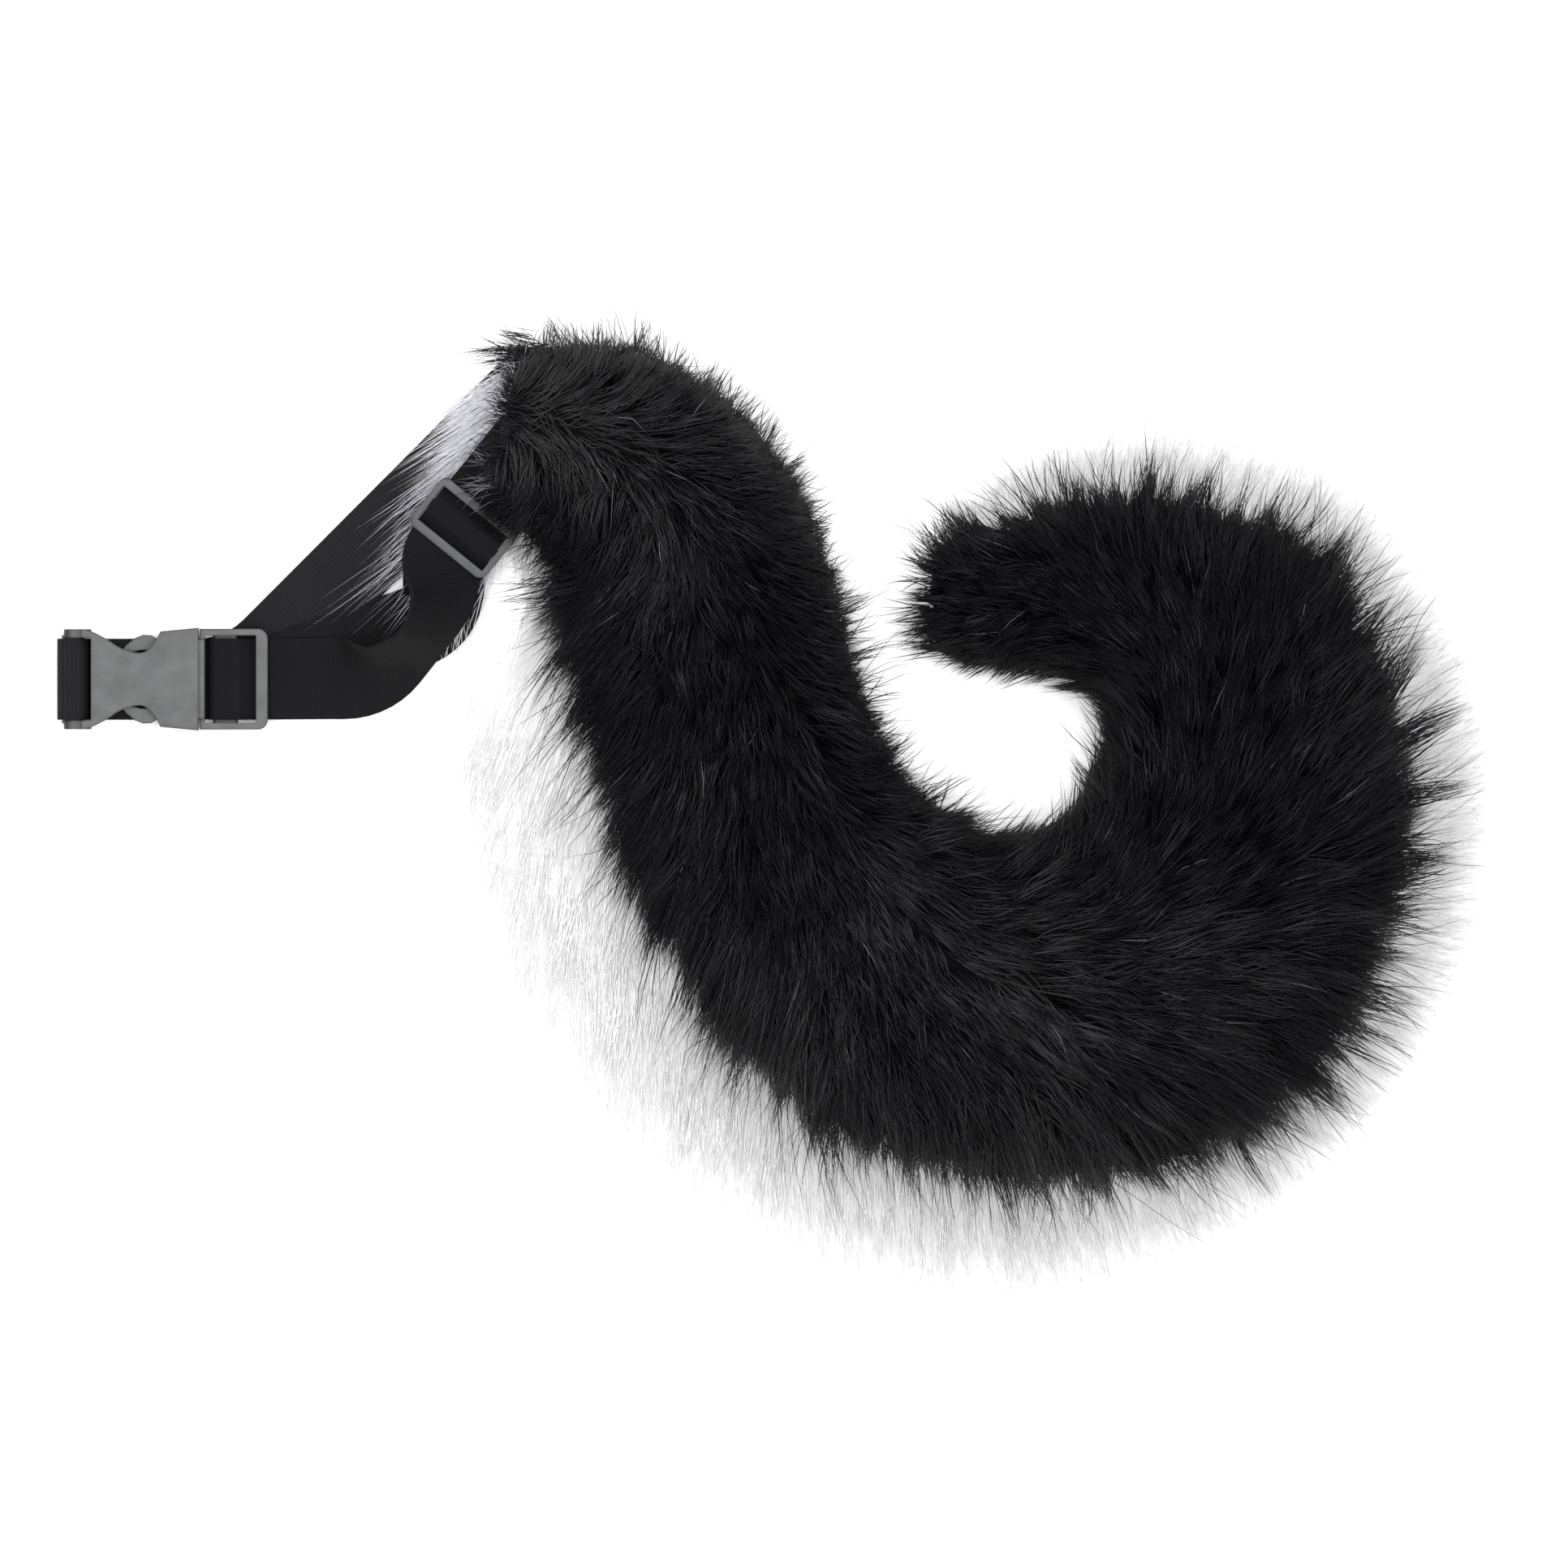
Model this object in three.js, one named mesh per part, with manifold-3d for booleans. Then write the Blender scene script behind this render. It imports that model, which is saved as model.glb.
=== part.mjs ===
// A costume animal tail on its waist belt, lying on a table. Millimetres, +Z up.
// Seen from above, +X runs to the right and +Y away. The table is at z = 0.
// The tail is a stuffed body with long fur: black above and on the inner side of the curl,
// white below and spread out on the table on the outer side. Its webbing belt has a
// side-release buckle and a three-bar slider.
import * as THREE from 'three';
import { mergeVertices } from 'three/addons/utils/BufferGeometryUtils.js';
import Module from 'manifold-3d';

const wasm = await Module();
wasm.setup();

// Tail
const TAIL_LENGTH = 532; // along the middle of the curl, from root to tip
const ROOT_HEADING = -12; // degrees, the way the tail leaves its root
const FUR_REACH = 62; // widest reach of the black pile to one side of the middle line
const FUR_HEIGHT = 78; // highest point of the pile above the table
const SKIRT_REACH = 48; // widest reach of the white pile past the black
const SEAM_HEIGHT = 32; // highest point of the seam between black and white
const OUTER_BODY = 0.7; // the stuffed body's share of the pile's reach on the outer side
const INNER_BODY = 0.86; // and on the inner side of the curl, where the pile is short
const ROOT_ROUNDING = 9; // how far the body's rounded end reaches behind the root
const TIP_ROUNDING = 6; // how far the body's rounded end reaches past the tip
const LOCK_PITCH = 28; // from one lock of fur to the next
const LOCK_WIDTH = 20;
const LOCK_THICKNESS = 7;
const LOCK_LEAN = 20; // how far a lock's tip lies nearer the tail's tip than its root
const TUFT_LENGTH = 46; // white tuft between the straps
const GAP = 0.3; // clearance between neighbouring pieces

// Belt
const WEBBING_WIDTH = 25;
const WEBBING_THICKNESS = 1.2;
const STRAP_ANGLE = 51; // degrees, the adjustable strap's way from the slider into the root
const STRAP_RUN = 40; // along the adjustable strap from the slider to its sewn end
const LOWER_ANGLE = 64; // degrees, its way from the bend to the slider
const LOWER_RUN = 52; // along it from the bend to the slider
const STRAP_RISE = 11; // how much higher the sewn end lies than the bend
const BEND_RADIUS = 22; // of the webbing's sideways bends, at its middle
const BUCKLE_RUN = 59; // from the buckle's mouth to the adjustable strap's bend
const RETURN_ALONG = 8; // the returning webbing's bend, from the running webbing's bend
const RETURN_ACROSS = 16.6;
const SEWN_TAIL = 18; // webbing turned back and sewn under the socket

// Buckle
const SOCKET_LENGTH = 41.6;
const SOCKET_WIDTH = 31.6;
const SOCKET_THICKNESS = 9;
const SOCKET_WAIST = 16.2;
const SOCKET_WALL = 2.2;
const LADDER_LENGTH = 21;
const LADDER_WIDTH = 31;
const LADDER_THICKNESS = 5;
const LADDER_BAR = 3.6;
const LADDER_CORNER = 3; // radius of the ladder's two outer corners
const ARM_WIDTH = 3.2;
const ARM_BULGE = 2.4; // how far an arm's thumb pad is drawn out at the waist

// Slider
const SLIDER_WIDTH = 29.6;
const SLIDER_LENGTH = 18.5;
const SLIDER_BAR = 2.7;
const SLIDER_THICKNESS = 2.4;
const SLIDER_CORNER = 3; // radius of the slider's corners

// The curl as arcs: each row runs a share of TAIL_LENGTH and turns by so many degrees.
const BENDS = [
  { run: 0.13, turn: -58 },
  { run: 0.06, turn: -7 },
  { run: 0.18, turn: 26 },
  { run: 0.42, turn: 173 },
  { run: 0.14, turn: 72 },
  { run: 0.07, turn: -36 },
];

// Sections of the pile. at: share of TAIL_LENGTH. left, right: shares of FUR_REACH, left being
// the inner side of the curl. top: share of FUR_HEIGHT. skirt: share of SKIRT_REACH. seam: share
// of SEAM_HEIGHT.
const SECTIONS = [
  { at: 0.0, left: 0.48, right: 0.6, top: 0.56, skirt: 0.08, seam: 0.47 },
  { at: 0.04, left: 0.64, right: 0.68, top: 0.66, skirt: 0.12, seam: 0.47 },
  { at: 0.09, left: 0.72, right: 0.7, top: 0.72, skirt: 0.18, seam: 0.52 },
  { at: 0.13, left: 0.76, right: 0.74, top: 0.75, skirt: 0.28, seam: 0.64 },
  { at: 0.17, left: 0.78, right: 0.78, top: 0.77, skirt: 0.76, seam: 0.8 },
  { at: 0.23, left: 0.76, right: 0.8, top: 0.8, skirt: 0.9, seam: 0.94 },
  { at: 0.3, left: 0.76, right: 0.86, top: 0.86, skirt: 0.96, seam: 1.0 },
  { at: 0.37, left: 0.92, right: 0.93, top: 0.94, skirt: 0.86, seam: 1.0 },
  { at: 0.45, left: 1.03, right: 0.92, top: 1.0, skirt: 0.78, seam: 1.0 },
  { at: 0.53, left: 1.04, right: 0.92, top: 1.0, skirt: 0.58, seam: 1.0 },
  { at: 0.6, left: 1.02, right: 0.94, top: 0.98, skirt: 0.4, seam: 1.0 },
  { at: 0.66, left: 0.99, right: 0.88, top: 0.94, skirt: 0.42, seam: 1.0 },
  { at: 0.72, left: 0.94, right: 0.83, top: 0.88, skirt: 0.42, seam: 0.98 },
  { at: 0.77, left: 0.85, right: 0.79, top: 0.82, skirt: 0.42, seam: 0.94 },
  { at: 0.82, left: 0.68, right: 0.71, top: 0.72, skirt: 0.44, seam: 0.86 },
  { at: 0.88, left: 0.6, right: 0.48, top: 0.62, skirt: 0.4, seam: 0.74 },
  { at: 0.94, left: 0.5, right: 0.32, top: 0.5, skirt: 0.26, seam: 0.6 },
  { at: 1.0, left: 0.26, right: 0.26, top: 0.3, skirt: 0.06, seam: 0.4 },
];

const black = new THREE.MeshStandardMaterial({ color: 0x141313, roughness: 0.8, metalness: 0 });
const white = new THREE.MeshStandardMaterial({ color: 0xe9e8ec, roughness: 0.85, metalness: 0 });
const webbing = new THREE.MeshStandardMaterial({ color: 0x232326, roughness: 0.9, metalness: 0 });
const plastic = new THREE.MeshStandardMaterial({ color: 0x6f7072, roughness: 0.45, metalness: 0 });

const radians = THREE.MathUtils.degToRad;
const lerp = THREE.MathUtils.lerp;
const UP = new THREE.Vector3(0, 0, 1);

// Repeatable small variations, the same each time.
function makeJitter(seed) {
  let state = seed;
  return (low, high) => {
    state = (state * 48271) % 2147483647;
    return lerp(low, high, state / 2147483647);
  };
}

// A closed geometry as a solid that can be joined and cut.
function toSolid(geometry) {
  const bare = geometry.index ? geometry.toNonIndexed() : geometry.clone();
  bare.deleteAttribute('normal');
  bare.deleteAttribute('uv');
  const merged = mergeVertices(bare, 1e-4);
  const mesh = new wasm.Mesh({
    numProp: 3,
    vertProperties: new Float32Array(merged.attributes.position.array),
    triVerts: new Uint32Array(merged.index.array),
  });
  return new wasm.Manifold(mesh);
}

// The largest body of a solid, as a geometry, without any crumb that a cut left.
function toGeometry(solid) {
  const bodies = solid.decompose();
  bodies.sort((a, b) => b.volume() - a.volume());
  const { vertProperties, triVerts, numProp } = bodies[0].getMesh();
  const count = vertProperties.length / numProp;
  const positions = new Float32Array(count * 3);
  for (let i = 0; i < count; i += 1) {
    positions.set(vertProperties.subarray(i * numProp, i * numProp + 3), i * 3);
  }
  const geometry = new THREE.BufferGeometry();
  geometry.setAttribute('position', new THREE.BufferAttribute(positions, 3));
  geometry.setIndex(new THREE.BufferAttribute(new Uint32Array(triVerts), 1));
  geometry.computeVertexNormals();
  return geometry;
}

// A closed skin through rings of points, all with the same count and the same sense.
function skin(rings) {
  const count = rings[0].length;
  const positions = rings.flat().flatMap((p) => [p.x, p.y, p.z]);
  const index = [];
  for (let r = 0; r + 1 < rings.length; r += 1) {
    for (let i = 0; i < count; i += 1) {
      const a = r * count + i;
      const b = r * count + ((i + 1) % count);
      index.push(a, b, b + count, a, b + count, a + count);
    }
  }
  const last = (rings.length - 1) * count;
  for (let i = 1; i + 1 < count; i += 1) {
    index.push(0, i + 1, i);
    index.push(last, last + i, last + i + 1);
  }
  const geometry = new THREE.BufferGeometry();
  geometry.setAttribute('position', new THREE.BufferAttribute(new Float32Array(positions), 3));
  geometry.setIndex(index);
  return geometry;
}

// The path of the curl: the point and the heading at a length along it. It runs straight on
// before the root and past the tip.
function pathAt(length) {
  let heading = radians(ROOT_HEADING);
  let x = 0;
  let y = 0;
  let left = length;
  if (length > 0) {
    for (const bend of BENDS) {
      const run = Math.min(left, bend.run * TAIL_LENGTH);
      const turn = (radians(bend.turn) * run) / (bend.run * TAIL_LENGTH);
      const chord = run * (Math.abs(turn) < 1e-6 ? 1 : Math.sin(turn / 2) / (turn / 2));
      x += chord * Math.cos(heading + turn / 2);
      y += chord * Math.sin(heading + turn / 2);
      heading += turn;
      left -= run;
      if (left <= 0) break;
    }
  }
  x += left * Math.cos(heading);
  y += left * Math.sin(heading);
  return { x, y, heading };
}

// The point beside the path: across is positive on the left, height is above the table.
function beside(length, across, height) {
  const { x, y, heading } = pathAt(length);
  return new THREE.Vector3(x - across * Math.sin(heading), y + across * Math.cos(heading), height);
}

// The sizes of the pile's section at a length along the path.
function sectionAt(length) {
  const at = THREE.MathUtils.clamp(length / TAIL_LENGTH, 0, 1);
  const next = Math.max(1, SECTIONS.findIndex((row) => row.at >= at));
  const from = SECTIONS[next - 1];
  const to = SECTIONS[next];
  const share = (at - from.at) / (to.at - from.at);
  const mix = (column) => lerp(from[column], to[column], share);
  return {
    left: mix('left') * FUR_REACH,
    right: mix('right') * FUR_REACH,
    top: mix('top') * FUR_HEIGHT,
    skirt: mix('skirt') * SKIRT_REACH,
    seam: mix('seam') * SEAM_HEIGHT,
  };
}

// The seam across the section, from the inner side to past the skirt: a roof over the white.
const SEAM_EDGE = 0.2; // share of the seam's height that is left at both far ends
const SEAM_INNER = 0.36; // share of the seam's height at the body's inner side
const ROOF_MARGIN = 3;
function roofAt(length) {
  const { left, right, skirt, seam } = sectionAt(length);
  return [
    { across: -(right + skirt + ROOF_MARGIN), height: seam * SEAM_EDGE },
    { across: -right * OUTER_BODY, height: seam },
    { across: left * INNER_BODY, height: seam * SEAM_INNER },
    { across: left + ROOF_MARGIN, height: seam * SEAM_EDGE },
  ];
}

// Lengths at which the body is sectioned: one for each row, one between, and the rounded ends.
const ROUND_STEPS = 2;
const ROUND_TURN = radians(83); // how far round the quarter circle the last station lies
function stations() {
  const round = [];
  for (let i = 1; i <= ROUND_STEPS; i += 1) {
    round.push(Math.sin((i / ROUND_STEPS) * ROUND_TURN));
  }
  const list = round.map((share) => -ROOT_ROUNDING * share).reverse();
  for (let i = 0; i + 1 < SECTIONS.length; i += 1) {
    list.push(SECTIONS[i].at * TAIL_LENGTH);
    list.push(((SECTIONS[i].at + SECTIONS[i + 1].at) / 2) * TAIL_LENGTH);
  }
  list.push(TAIL_LENGTH);
  list.push(...round.map((share) => TAIL_LENGTH + TIP_ROUNDING * share));
  return list;
}

// How much of its full section the body has where an end is rounded.
function rounding(length) {
  const past = Math.max(-length / ROOT_ROUNDING, (length - TAIL_LENGTH) / TIP_ROUNDING, 0);
  return Math.sqrt(Math.max(1 - past * past, 0.01));
}

// A point of the pile over the body. angle: 0 at the right, 90 on top, 180 at the left. out: 0 on
// the stuffed body, 1 at the ends of the pile.
const BODY_TOP_SHARE = 0.84; // the stuffed body's share of the pile's height
const END_TOP_SHARE = 0.5; // share of the height that is left where an end closes
function pilePoint(length, angle, out) {
  const { left, right, top, seam } = sectionAt(length);
  const side = angle > 90 ? left : -right;
  const share = lerp(angle > 90 ? INNER_BODY : OUTER_BODY, 1, out) * rounding(length);
  const foot = angle > 90 ? seam * SEAM_INNER : seam;
  const high = lerp(BODY_TOP_SHARE, 1, out) * top * lerp(END_TOP_SHARE, 1, rounding(length));
  const c = Math.abs(Math.cos(radians(angle)));
  const s = Math.sin(radians(angle));
  return beside(length, side * share * c, foot + (high - foot) * s);
}

// One lock of fur: a flat tapered form from a point in the body, bent over to its tip.
const LOCK_MIDDLE_SHARE = 0.86; // share of its root's size at the bend
const LOCK_TIP_SHARE = 0.06; // and at its tip
function lock(base, knee, tip, width, thickness) {
  const along = new THREE.Vector3().subVectors(tip, base).normalize();
  const rise = new THREE.Vector3().subVectors(knee, base).normalize();
  const flat = new THREE.Vector3().crossVectors(rise, along);
  if (flat.length() < 0.05) flat.crossVectors(UP, along);
  flat.normalize();
  const ridge = new THREE.Vector3().crossVectors(along, flat);
  if (ridge.dot(rise) < 0) {
    ridge.negate();
    flat.negate();
  }
  const ring = (centre, share) => [
    centre.clone().addScaledVector(flat, (share * width) / 2),
    centre.clone().addScaledVector(ridge, share * thickness),
    centre.clone().addScaledVector(flat, (-share * width) / 2),
  ];
  const middle = base.clone().lerp(knee, 0.5).lerp(knee.clone().lerp(tip, 0.5), 0.5);
  return toSolid(skin([ring(base, 1), ring(middle, LOCK_MIDDLE_SHARE), ring(tip, LOCK_TIP_SHARE)]));
}

// The stuffed black body: the pile's inner surface above the seam.
const ARC_STEPS = 8;
function blackBody() {
  const rings = stations().map((length) => {
    const points = [];
    for (let i = 0; i <= ARC_STEPS; i += 1) points.push(pilePoint(length, (180 * i) / ARC_STEPS, 0));
    const sink = (p) => new THREE.Vector3(p.x, p.y, p.z - SEAM_HEIGHT);
    return [sink(points[0]), ...points, sink(points[ARC_STEPS])].reverse();
  });
  return toSolid(skin(rings));
}

// The black locks, in staggered rows round the section.
const LOCK_ANGLES = [7, 40, 74, 106, 140, 173];
const LOCK_REACHES = [0.9, 1.06]; // shortest and longest, as shares of the pile
const LOCK_LEANS = [0.8, 1.25]; // least and most, as shares of LOCK_LEAN
const LOCK_TURN = 5; // degrees that a lock may turn round the section
const LOCK_ROOT_DEPTH = 0.55; // how deep a lock's root lies in the body, as a share of the pile
const LOCK_SIDE_DEPTH = 0.6; // share of that depth at the sides
const LOCK_SMALLEST = 0.62; // share of LOCK_WIDTH where the tail is thinnest
const LOCK_KNEE = 0.3; // share of the lean at a lock's bend
const LOCK_KNEE_REACH = 0.95; // share of the reach there
function blackLocks() {
  const jitter = makeJitter(7);
  const locks = [];
  LOCK_ANGLES.forEach((angle, row) => {
    for (let length = (row % 2) * (LOCK_PITCH / 2); length < TAIL_LENGTH; length += LOCK_PITCH) {
      const reach = jitter(...LOCK_REACHES);
      const lean = LOCK_LEAN * jitter(...LOCK_LEANS);
      const turn = jitter(-LOCK_TURN, LOCK_TURN);
      const small = lerp(LOCK_SMALLEST, 1, sectionAt(length).top / FUR_HEIGHT);
      const depth = LOCK_ROOT_DEPTH * lerp(LOCK_SIDE_DEPTH, 1, Math.sin(radians(angle)));
      const base = pilePoint(length, angle, -depth);
      const knee = pilePoint(length + lean * LOCK_KNEE, angle + turn, reach * LOCK_KNEE_REACH);
      const tip = pilePoint(Math.min(length + lean, TAIL_LENGTH), angle + turn, reach);
      locks.push(lock(base, knee, tip, LOCK_WIDTH * small, LOCK_THICKNESS));
    }
  });
  return locks;
}

// The locks at the tip, spread like a fan ahead of the body's end.
const TIP_FAN = [
  { turn: -38, rise: 0.5 },
  { turn: -14, rise: 0.72 },
  { turn: 12, rise: 0.55 },
  { turn: 38, rise: 0.42 },
];
const TIP_FAN_REACH = 0.14; // share of FUR_REACH, past the path's end
const TIP_KNEE_RISE = 0.2; // share of the section's height by which a lock bows up
const TIP_LOCK_SHARE = 0.7; // share of LOCK_WIDTH
function tipLocks() {
  const { top } = sectionAt(TAIL_LENGTH);
  return TIP_FAN.map(({ turn, rise }) => {
    const base = beside(TAIL_LENGTH - 2 * TIP_ROUNDING, 0, top * rise);
    const ahead = FUR_REACH * TIP_FAN_REACH * Math.cos(radians(turn));
    const across = FUR_REACH * TIP_FAN_REACH * Math.sin(radians(turn));
    const tip = beside(TAIL_LENGTH + ahead, across, top * rise);
    const knee = beside(TAIL_LENGTH + ahead / 2, across / 2, top * (rise + TIP_KNEE_RISE));
    return lock(base, knee, tip, LOCK_WIDTH * TIP_LOCK_SHARE, LOCK_THICKNESS);
  });
}

// The locks over the root's round end, short and standing.
const ROOT_FAN = [-64, -38, -12, 14, 40, 66];
const ROOT_FAN_REACH = 0.16; // share of FUR_REACH past the body's rounded end
const ROOT_BASE = { across: 0.5, rise: 0.6 }; // shares of the way to the tip and of the height
const ROOT_KNEE = { back: 0.6, across: 0.8, rise: 0.8 };
const ROOT_TIP_RISE = 0.62;
function rootLocks() {
  const { left, right, top } = sectionAt(0);
  return ROOT_FAN.map((turn) => {
    const side = turn > 0 ? left : right;
    const across = side * Math.sin(radians(turn));
    const back = (ROOT_ROUNDING + FUR_REACH * ROOT_FAN_REACH) * Math.cos(radians(turn));
    const base = beside(ROOT_ROUNDING / 2, across * ROOT_BASE.across, top * ROOT_BASE.rise);
    const tip = beside(-back, across, top * ROOT_TIP_RISE);
    const knee = beside(-back * ROOT_KNEE.back, across * ROOT_KNEE.across, top * ROOT_KNEE.rise);
    return lock(base, knee, tip, LOCK_WIDTH, LOCK_THICKNESS);
  });
}

// The white body: a flat bottom on the table, wider than the black on the outer side.
const FOOT_SHARE = 0.82; // the flat bottom's share of the body's width
const SKIRT_BODY_SHARE = 0.3; // the body's share of the skirt
const BULGE_SHARE = 0.33; // height of the body's widest line, as a share of the seam
const COVER_SHARE = 0.8; // width above the seam, where the black covers it
const COVER_HEIGHT = 2; // height there, times the seam's
function whiteBody() {
  const rings = stations().map((length) => {
    const { left, right, skirt, seam } = sectionAt(length);
    const share = rounding(length);
    const inner = left * INNER_BODY * share;
    const outer = (right * OUTER_BODY + skirt * SKIRT_BODY_SHARE) * share;
    return [
      beside(length, -outer * FOOT_SHARE, 0),
      beside(length, -outer, seam * BULGE_SHARE),
      beside(length, -outer * COVER_SHARE, seam * COVER_HEIGHT),
      beside(length, inner * COVER_SHARE, seam * COVER_HEIGHT),
      beside(length, inner, seam * BULGE_SHARE),
      beside(length, inner * FOOT_SHARE, 0),
    ].reverse();
  });
  return toSolid(skin(rings));
}

// The white locks spread out on the table on the outer side, in two staggered rows.
const SKIRT_ROWS = [
  { from: 0.3, to: 0.14, reach: 1 },
  { from: 0.7, to: 0.3, reach: 0.74 },
];
const WHITE_LEAN = 14;
const WHITE_REACHES = [0.85, 1.04]; // shortest and longest, as shares of the skirt
const WHITE_ROOT = 0.7; // where a lock grows, as a share of the body's width
const WHITE_TIP_RISE = 0.6; // height of its tip, as a share of the row's
const WHITE_KNEE = 0.4; // its bend, from the black's edge to the tip
const WHITE_LOCK_SHARE = 1.3; // times LOCK_WIDTH
function whiteLocks() {
  const jitter = makeJitter(19);
  const locks = [];
  SKIRT_ROWS.forEach(({ from, to, reach }, row) => {
    for (let length = row * (LOCK_PITCH / 2); length < TAIL_LENGTH; length += LOCK_PITCH) {
      const here = sectionAt(length);
      const there = sectionAt(length + WHITE_LEAN);
      const far = there.right + there.skirt * reach * jitter(...WHITE_REACHES);
      const bend = lerp(here.right, far, WHITE_KNEE);
      const base = beside(length, -here.right * OUTER_BODY * WHITE_ROOT, here.seam * from);
      const tip = beside(length + WHITE_LEAN, -far, there.seam * to * WHITE_TIP_RISE);
      const knee = beside(length + WHITE_LEAN / 2, -bend, here.seam * from);
      locks.push(lock(base, knee, tip, LOCK_WIDTH * WHITE_LOCK_SHARE, LOCK_THICKNESS));
    }
  });
  return locks;
}

// The white tuft that hangs out of the root between the two straps.
const TUFT = [
  { turn: 18, reach: 0.62 },
  { turn: 34, reach: 0.92 },
  { turn: 50, reach: 1 },
  { turn: 66, reach: 0.94 },
  { turn: 84, reach: 0.8 },
];
const TUFT_HEIGHT = 5;
const TUFT_SIDE = 0.24; // where it grows, as a share of the root's reach on the outer side
const TUFT_TIP_RISE = 0.6; // times TUFT_HEIGHT
const TUFT_KNEE_RISE = 1.5;
const TUFT_LOCK = { width: 1.2, thickness: 0.8 }; // times a black lock's
function whiteTuft() {
  const side = -sectionAt(0).right * TUFT_SIDE;
  return TUFT.map(({ turn, reach }) => {
    const base = beside(ROOT_ROUNDING / 2, side, TUFT_HEIGHT);
    const way = radians(turn);
    const far = ROOT_ROUNDING + TUFT_LENGTH * reach;
    const tip = beside(-far * Math.cos(way), side - far * Math.sin(way), TUFT_HEIGHT * TUFT_TIP_RISE);
    const knee = base.clone().lerp(tip, 0.5).setZ(TUFT_HEIGHT * TUFT_KNEE_RISE);
    return lock(base, knee, tip, LOCK_WIDTH * TUFT_LOCK.width, LOCK_THICKNESS * TUFT_LOCK.thickness);
  });
}

// The room above the seam. The black keeps inside it and the white outside it.
const ROOM_HEIGHT = 2; // times FUR_HEIGHT
const ROOM_BEFORE = 1.3; // times FUR_REACH, before the root
const ROOM_PAST = 0.32; // times FUR_REACH, past the tip
function roomAboveSeam() {
  const lengths = stations();
  lengths.unshift(-FUR_REACH * ROOM_BEFORE);
  lengths.push(TAIL_LENGTH + FUR_REACH * ROOM_PAST);
  const rings = lengths.map((length) => {
    const roof = roofAt(length);
    const ends = [roof[roof.length - 1], roof[0]];
    const cover = ends.map(({ across }) => beside(length, across, FUR_HEIGHT * ROOM_HEIGHT));
    return [...roof.map(({ across, height }) => beside(length, across, height)), ...cover];
  });
  return toSolid(skin(rings));
}

// A strap's middle line through its corners, each rounded to a radius, with the way along, the way
// across the webbing and its face at each station.
const ARC_STEP = radians(20);
const STEEP = 0.8; // upward share of the way past which the webbing keeps the last level way across
function keepLevel(across, along) {
  if (Math.abs(along.z) > STEEP) return;
  const level = new THREE.Vector3().crossVectors(UP, along).normalize();
  if (level.dot(across) < 0) level.negate();
  across.copy(level);
}

function routeStrap(corners, firstAcross) {
  const stops = [];
  const across = firstAcross.clone().normalize();
  let along = new THREE.Vector3().subVectors(corners[1].at, corners[0].at).normalize();
  const add = (at) => {
    const face = new THREE.Vector3().crossVectors(along, across).normalize();
    stops.push({ at: at.clone(), along: along.clone(), across: across.clone(), face });
  };
  add(corners[0].at);
  for (let i = 1; i + 1 < corners.length; i += 1) {
    const { at, radius } = corners[i];
    const next = new THREE.Vector3().subVectors(corners[i + 1].at, at).normalize();
    const angle = along.angleTo(next);
    const steps = Math.max(1, Math.round(angle / ARC_STEP));
    const axis = new THREE.Vector3().crossVectors(along, next).normalize();
    const toCentre = new THREE.Vector3().crossVectors(axis, along);
    const start = at.clone().addScaledVector(along, -radius * Math.tan(angle / 2));
    const centre = start.clone().addScaledVector(toCentre, radius);
    for (let step = 0; step <= steps; step += 1) {
      if (step > 0) {
        along.applyAxisAngle(axis, angle / steps);
        across.applyAxisAngle(axis, angle / steps);
        toCentre.applyAxisAngle(axis, angle / steps);
      }
      keepLevel(across, along);
      add(centre.clone().addScaledVector(toCentre, -radius));
    }
    along = next;
  }
  add(corners[corners.length - 1].at);
  return stops;
}

// The webbing along a route, grown on every side by a margin.
function sweepStrap(stops, margin = 0) {
  const wide = WEBBING_WIDTH / 2 + margin;
  const thick = WEBBING_THICKNESS / 2 + margin;
  const rings = stops.map(({ at, across, face }) => [
    at.clone().addScaledVector(across, wide).addScaledVector(face, thick),
    at.clone().addScaledVector(across, -wide).addScaledVector(face, thick),
    at.clone().addScaledVector(across, -wide).addScaledVector(face, -thick),
    at.clone().addScaledVector(across, wide).addScaledVector(face, -thick),
  ]);
  return toSolid(skin(rings));
}

// Levels of the webbing's middle above the table: each layer lies on the one below.
const LAYER = WEBBING_THICKNESS + GAP;
const FIRST_LEVEL = WEBBING_THICKNESS / 2;
const SECOND_LEVEL = FIRST_LEVEL + LAYER;
const THIRD_LEVEL = SECOND_LEVEL + LAYER;
const BUCKLE_BASE = 2 * LAYER; // underside of the buckle
const BAR_CLEARANCE = WEBBING_THICKNESS / 2 + GAP; // from a bar's face to the webbing's middle

// Buckle bars, in the buckle's own frame: x from the mouth towards the tail.
const SOCKET_BAR_RADIUS = 2.3;
const SOCKET_BAR_FLAT = 2.4; // between the centres of the bar's two round edges
const SOCKET_BAR_PAST = 0.6; // how far the bar's edge lies past the socket's length
const SOCKET_BAR_X = -SOCKET_LENGTH - SOCKET_BAR_PAST + SOCKET_BAR_RADIUS;
const SOCKET_BAR_Z = FIRST_LEVEL + BAR_CLEARANCE + SOCKET_BAR_RADIUS;
const LADDER_START = GAP;
const LADDER_END = LADDER_START + LADDER_LENGTH;
const LADDER_CROSS = 1.6; // cross member at the mouth
const LADDER_BAR_RADIUS = 1;
const LADDER_BAR_FLAT = 5.7;
const LADDER_PASSAGE = 1; // free room for the webbing before the bar
const LADDER_BAR_X = LADDER_START + LADDER_CROSS + LADDER_PASSAGE + LADDER_BAR_RADIUS + LAYER;
const LADDER_BAR_Z = BUCKLE_BASE + LADDER_BAR_RADIUS;
const LADDER_RAIL = 2; // width of the ladder's two side rails
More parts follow.
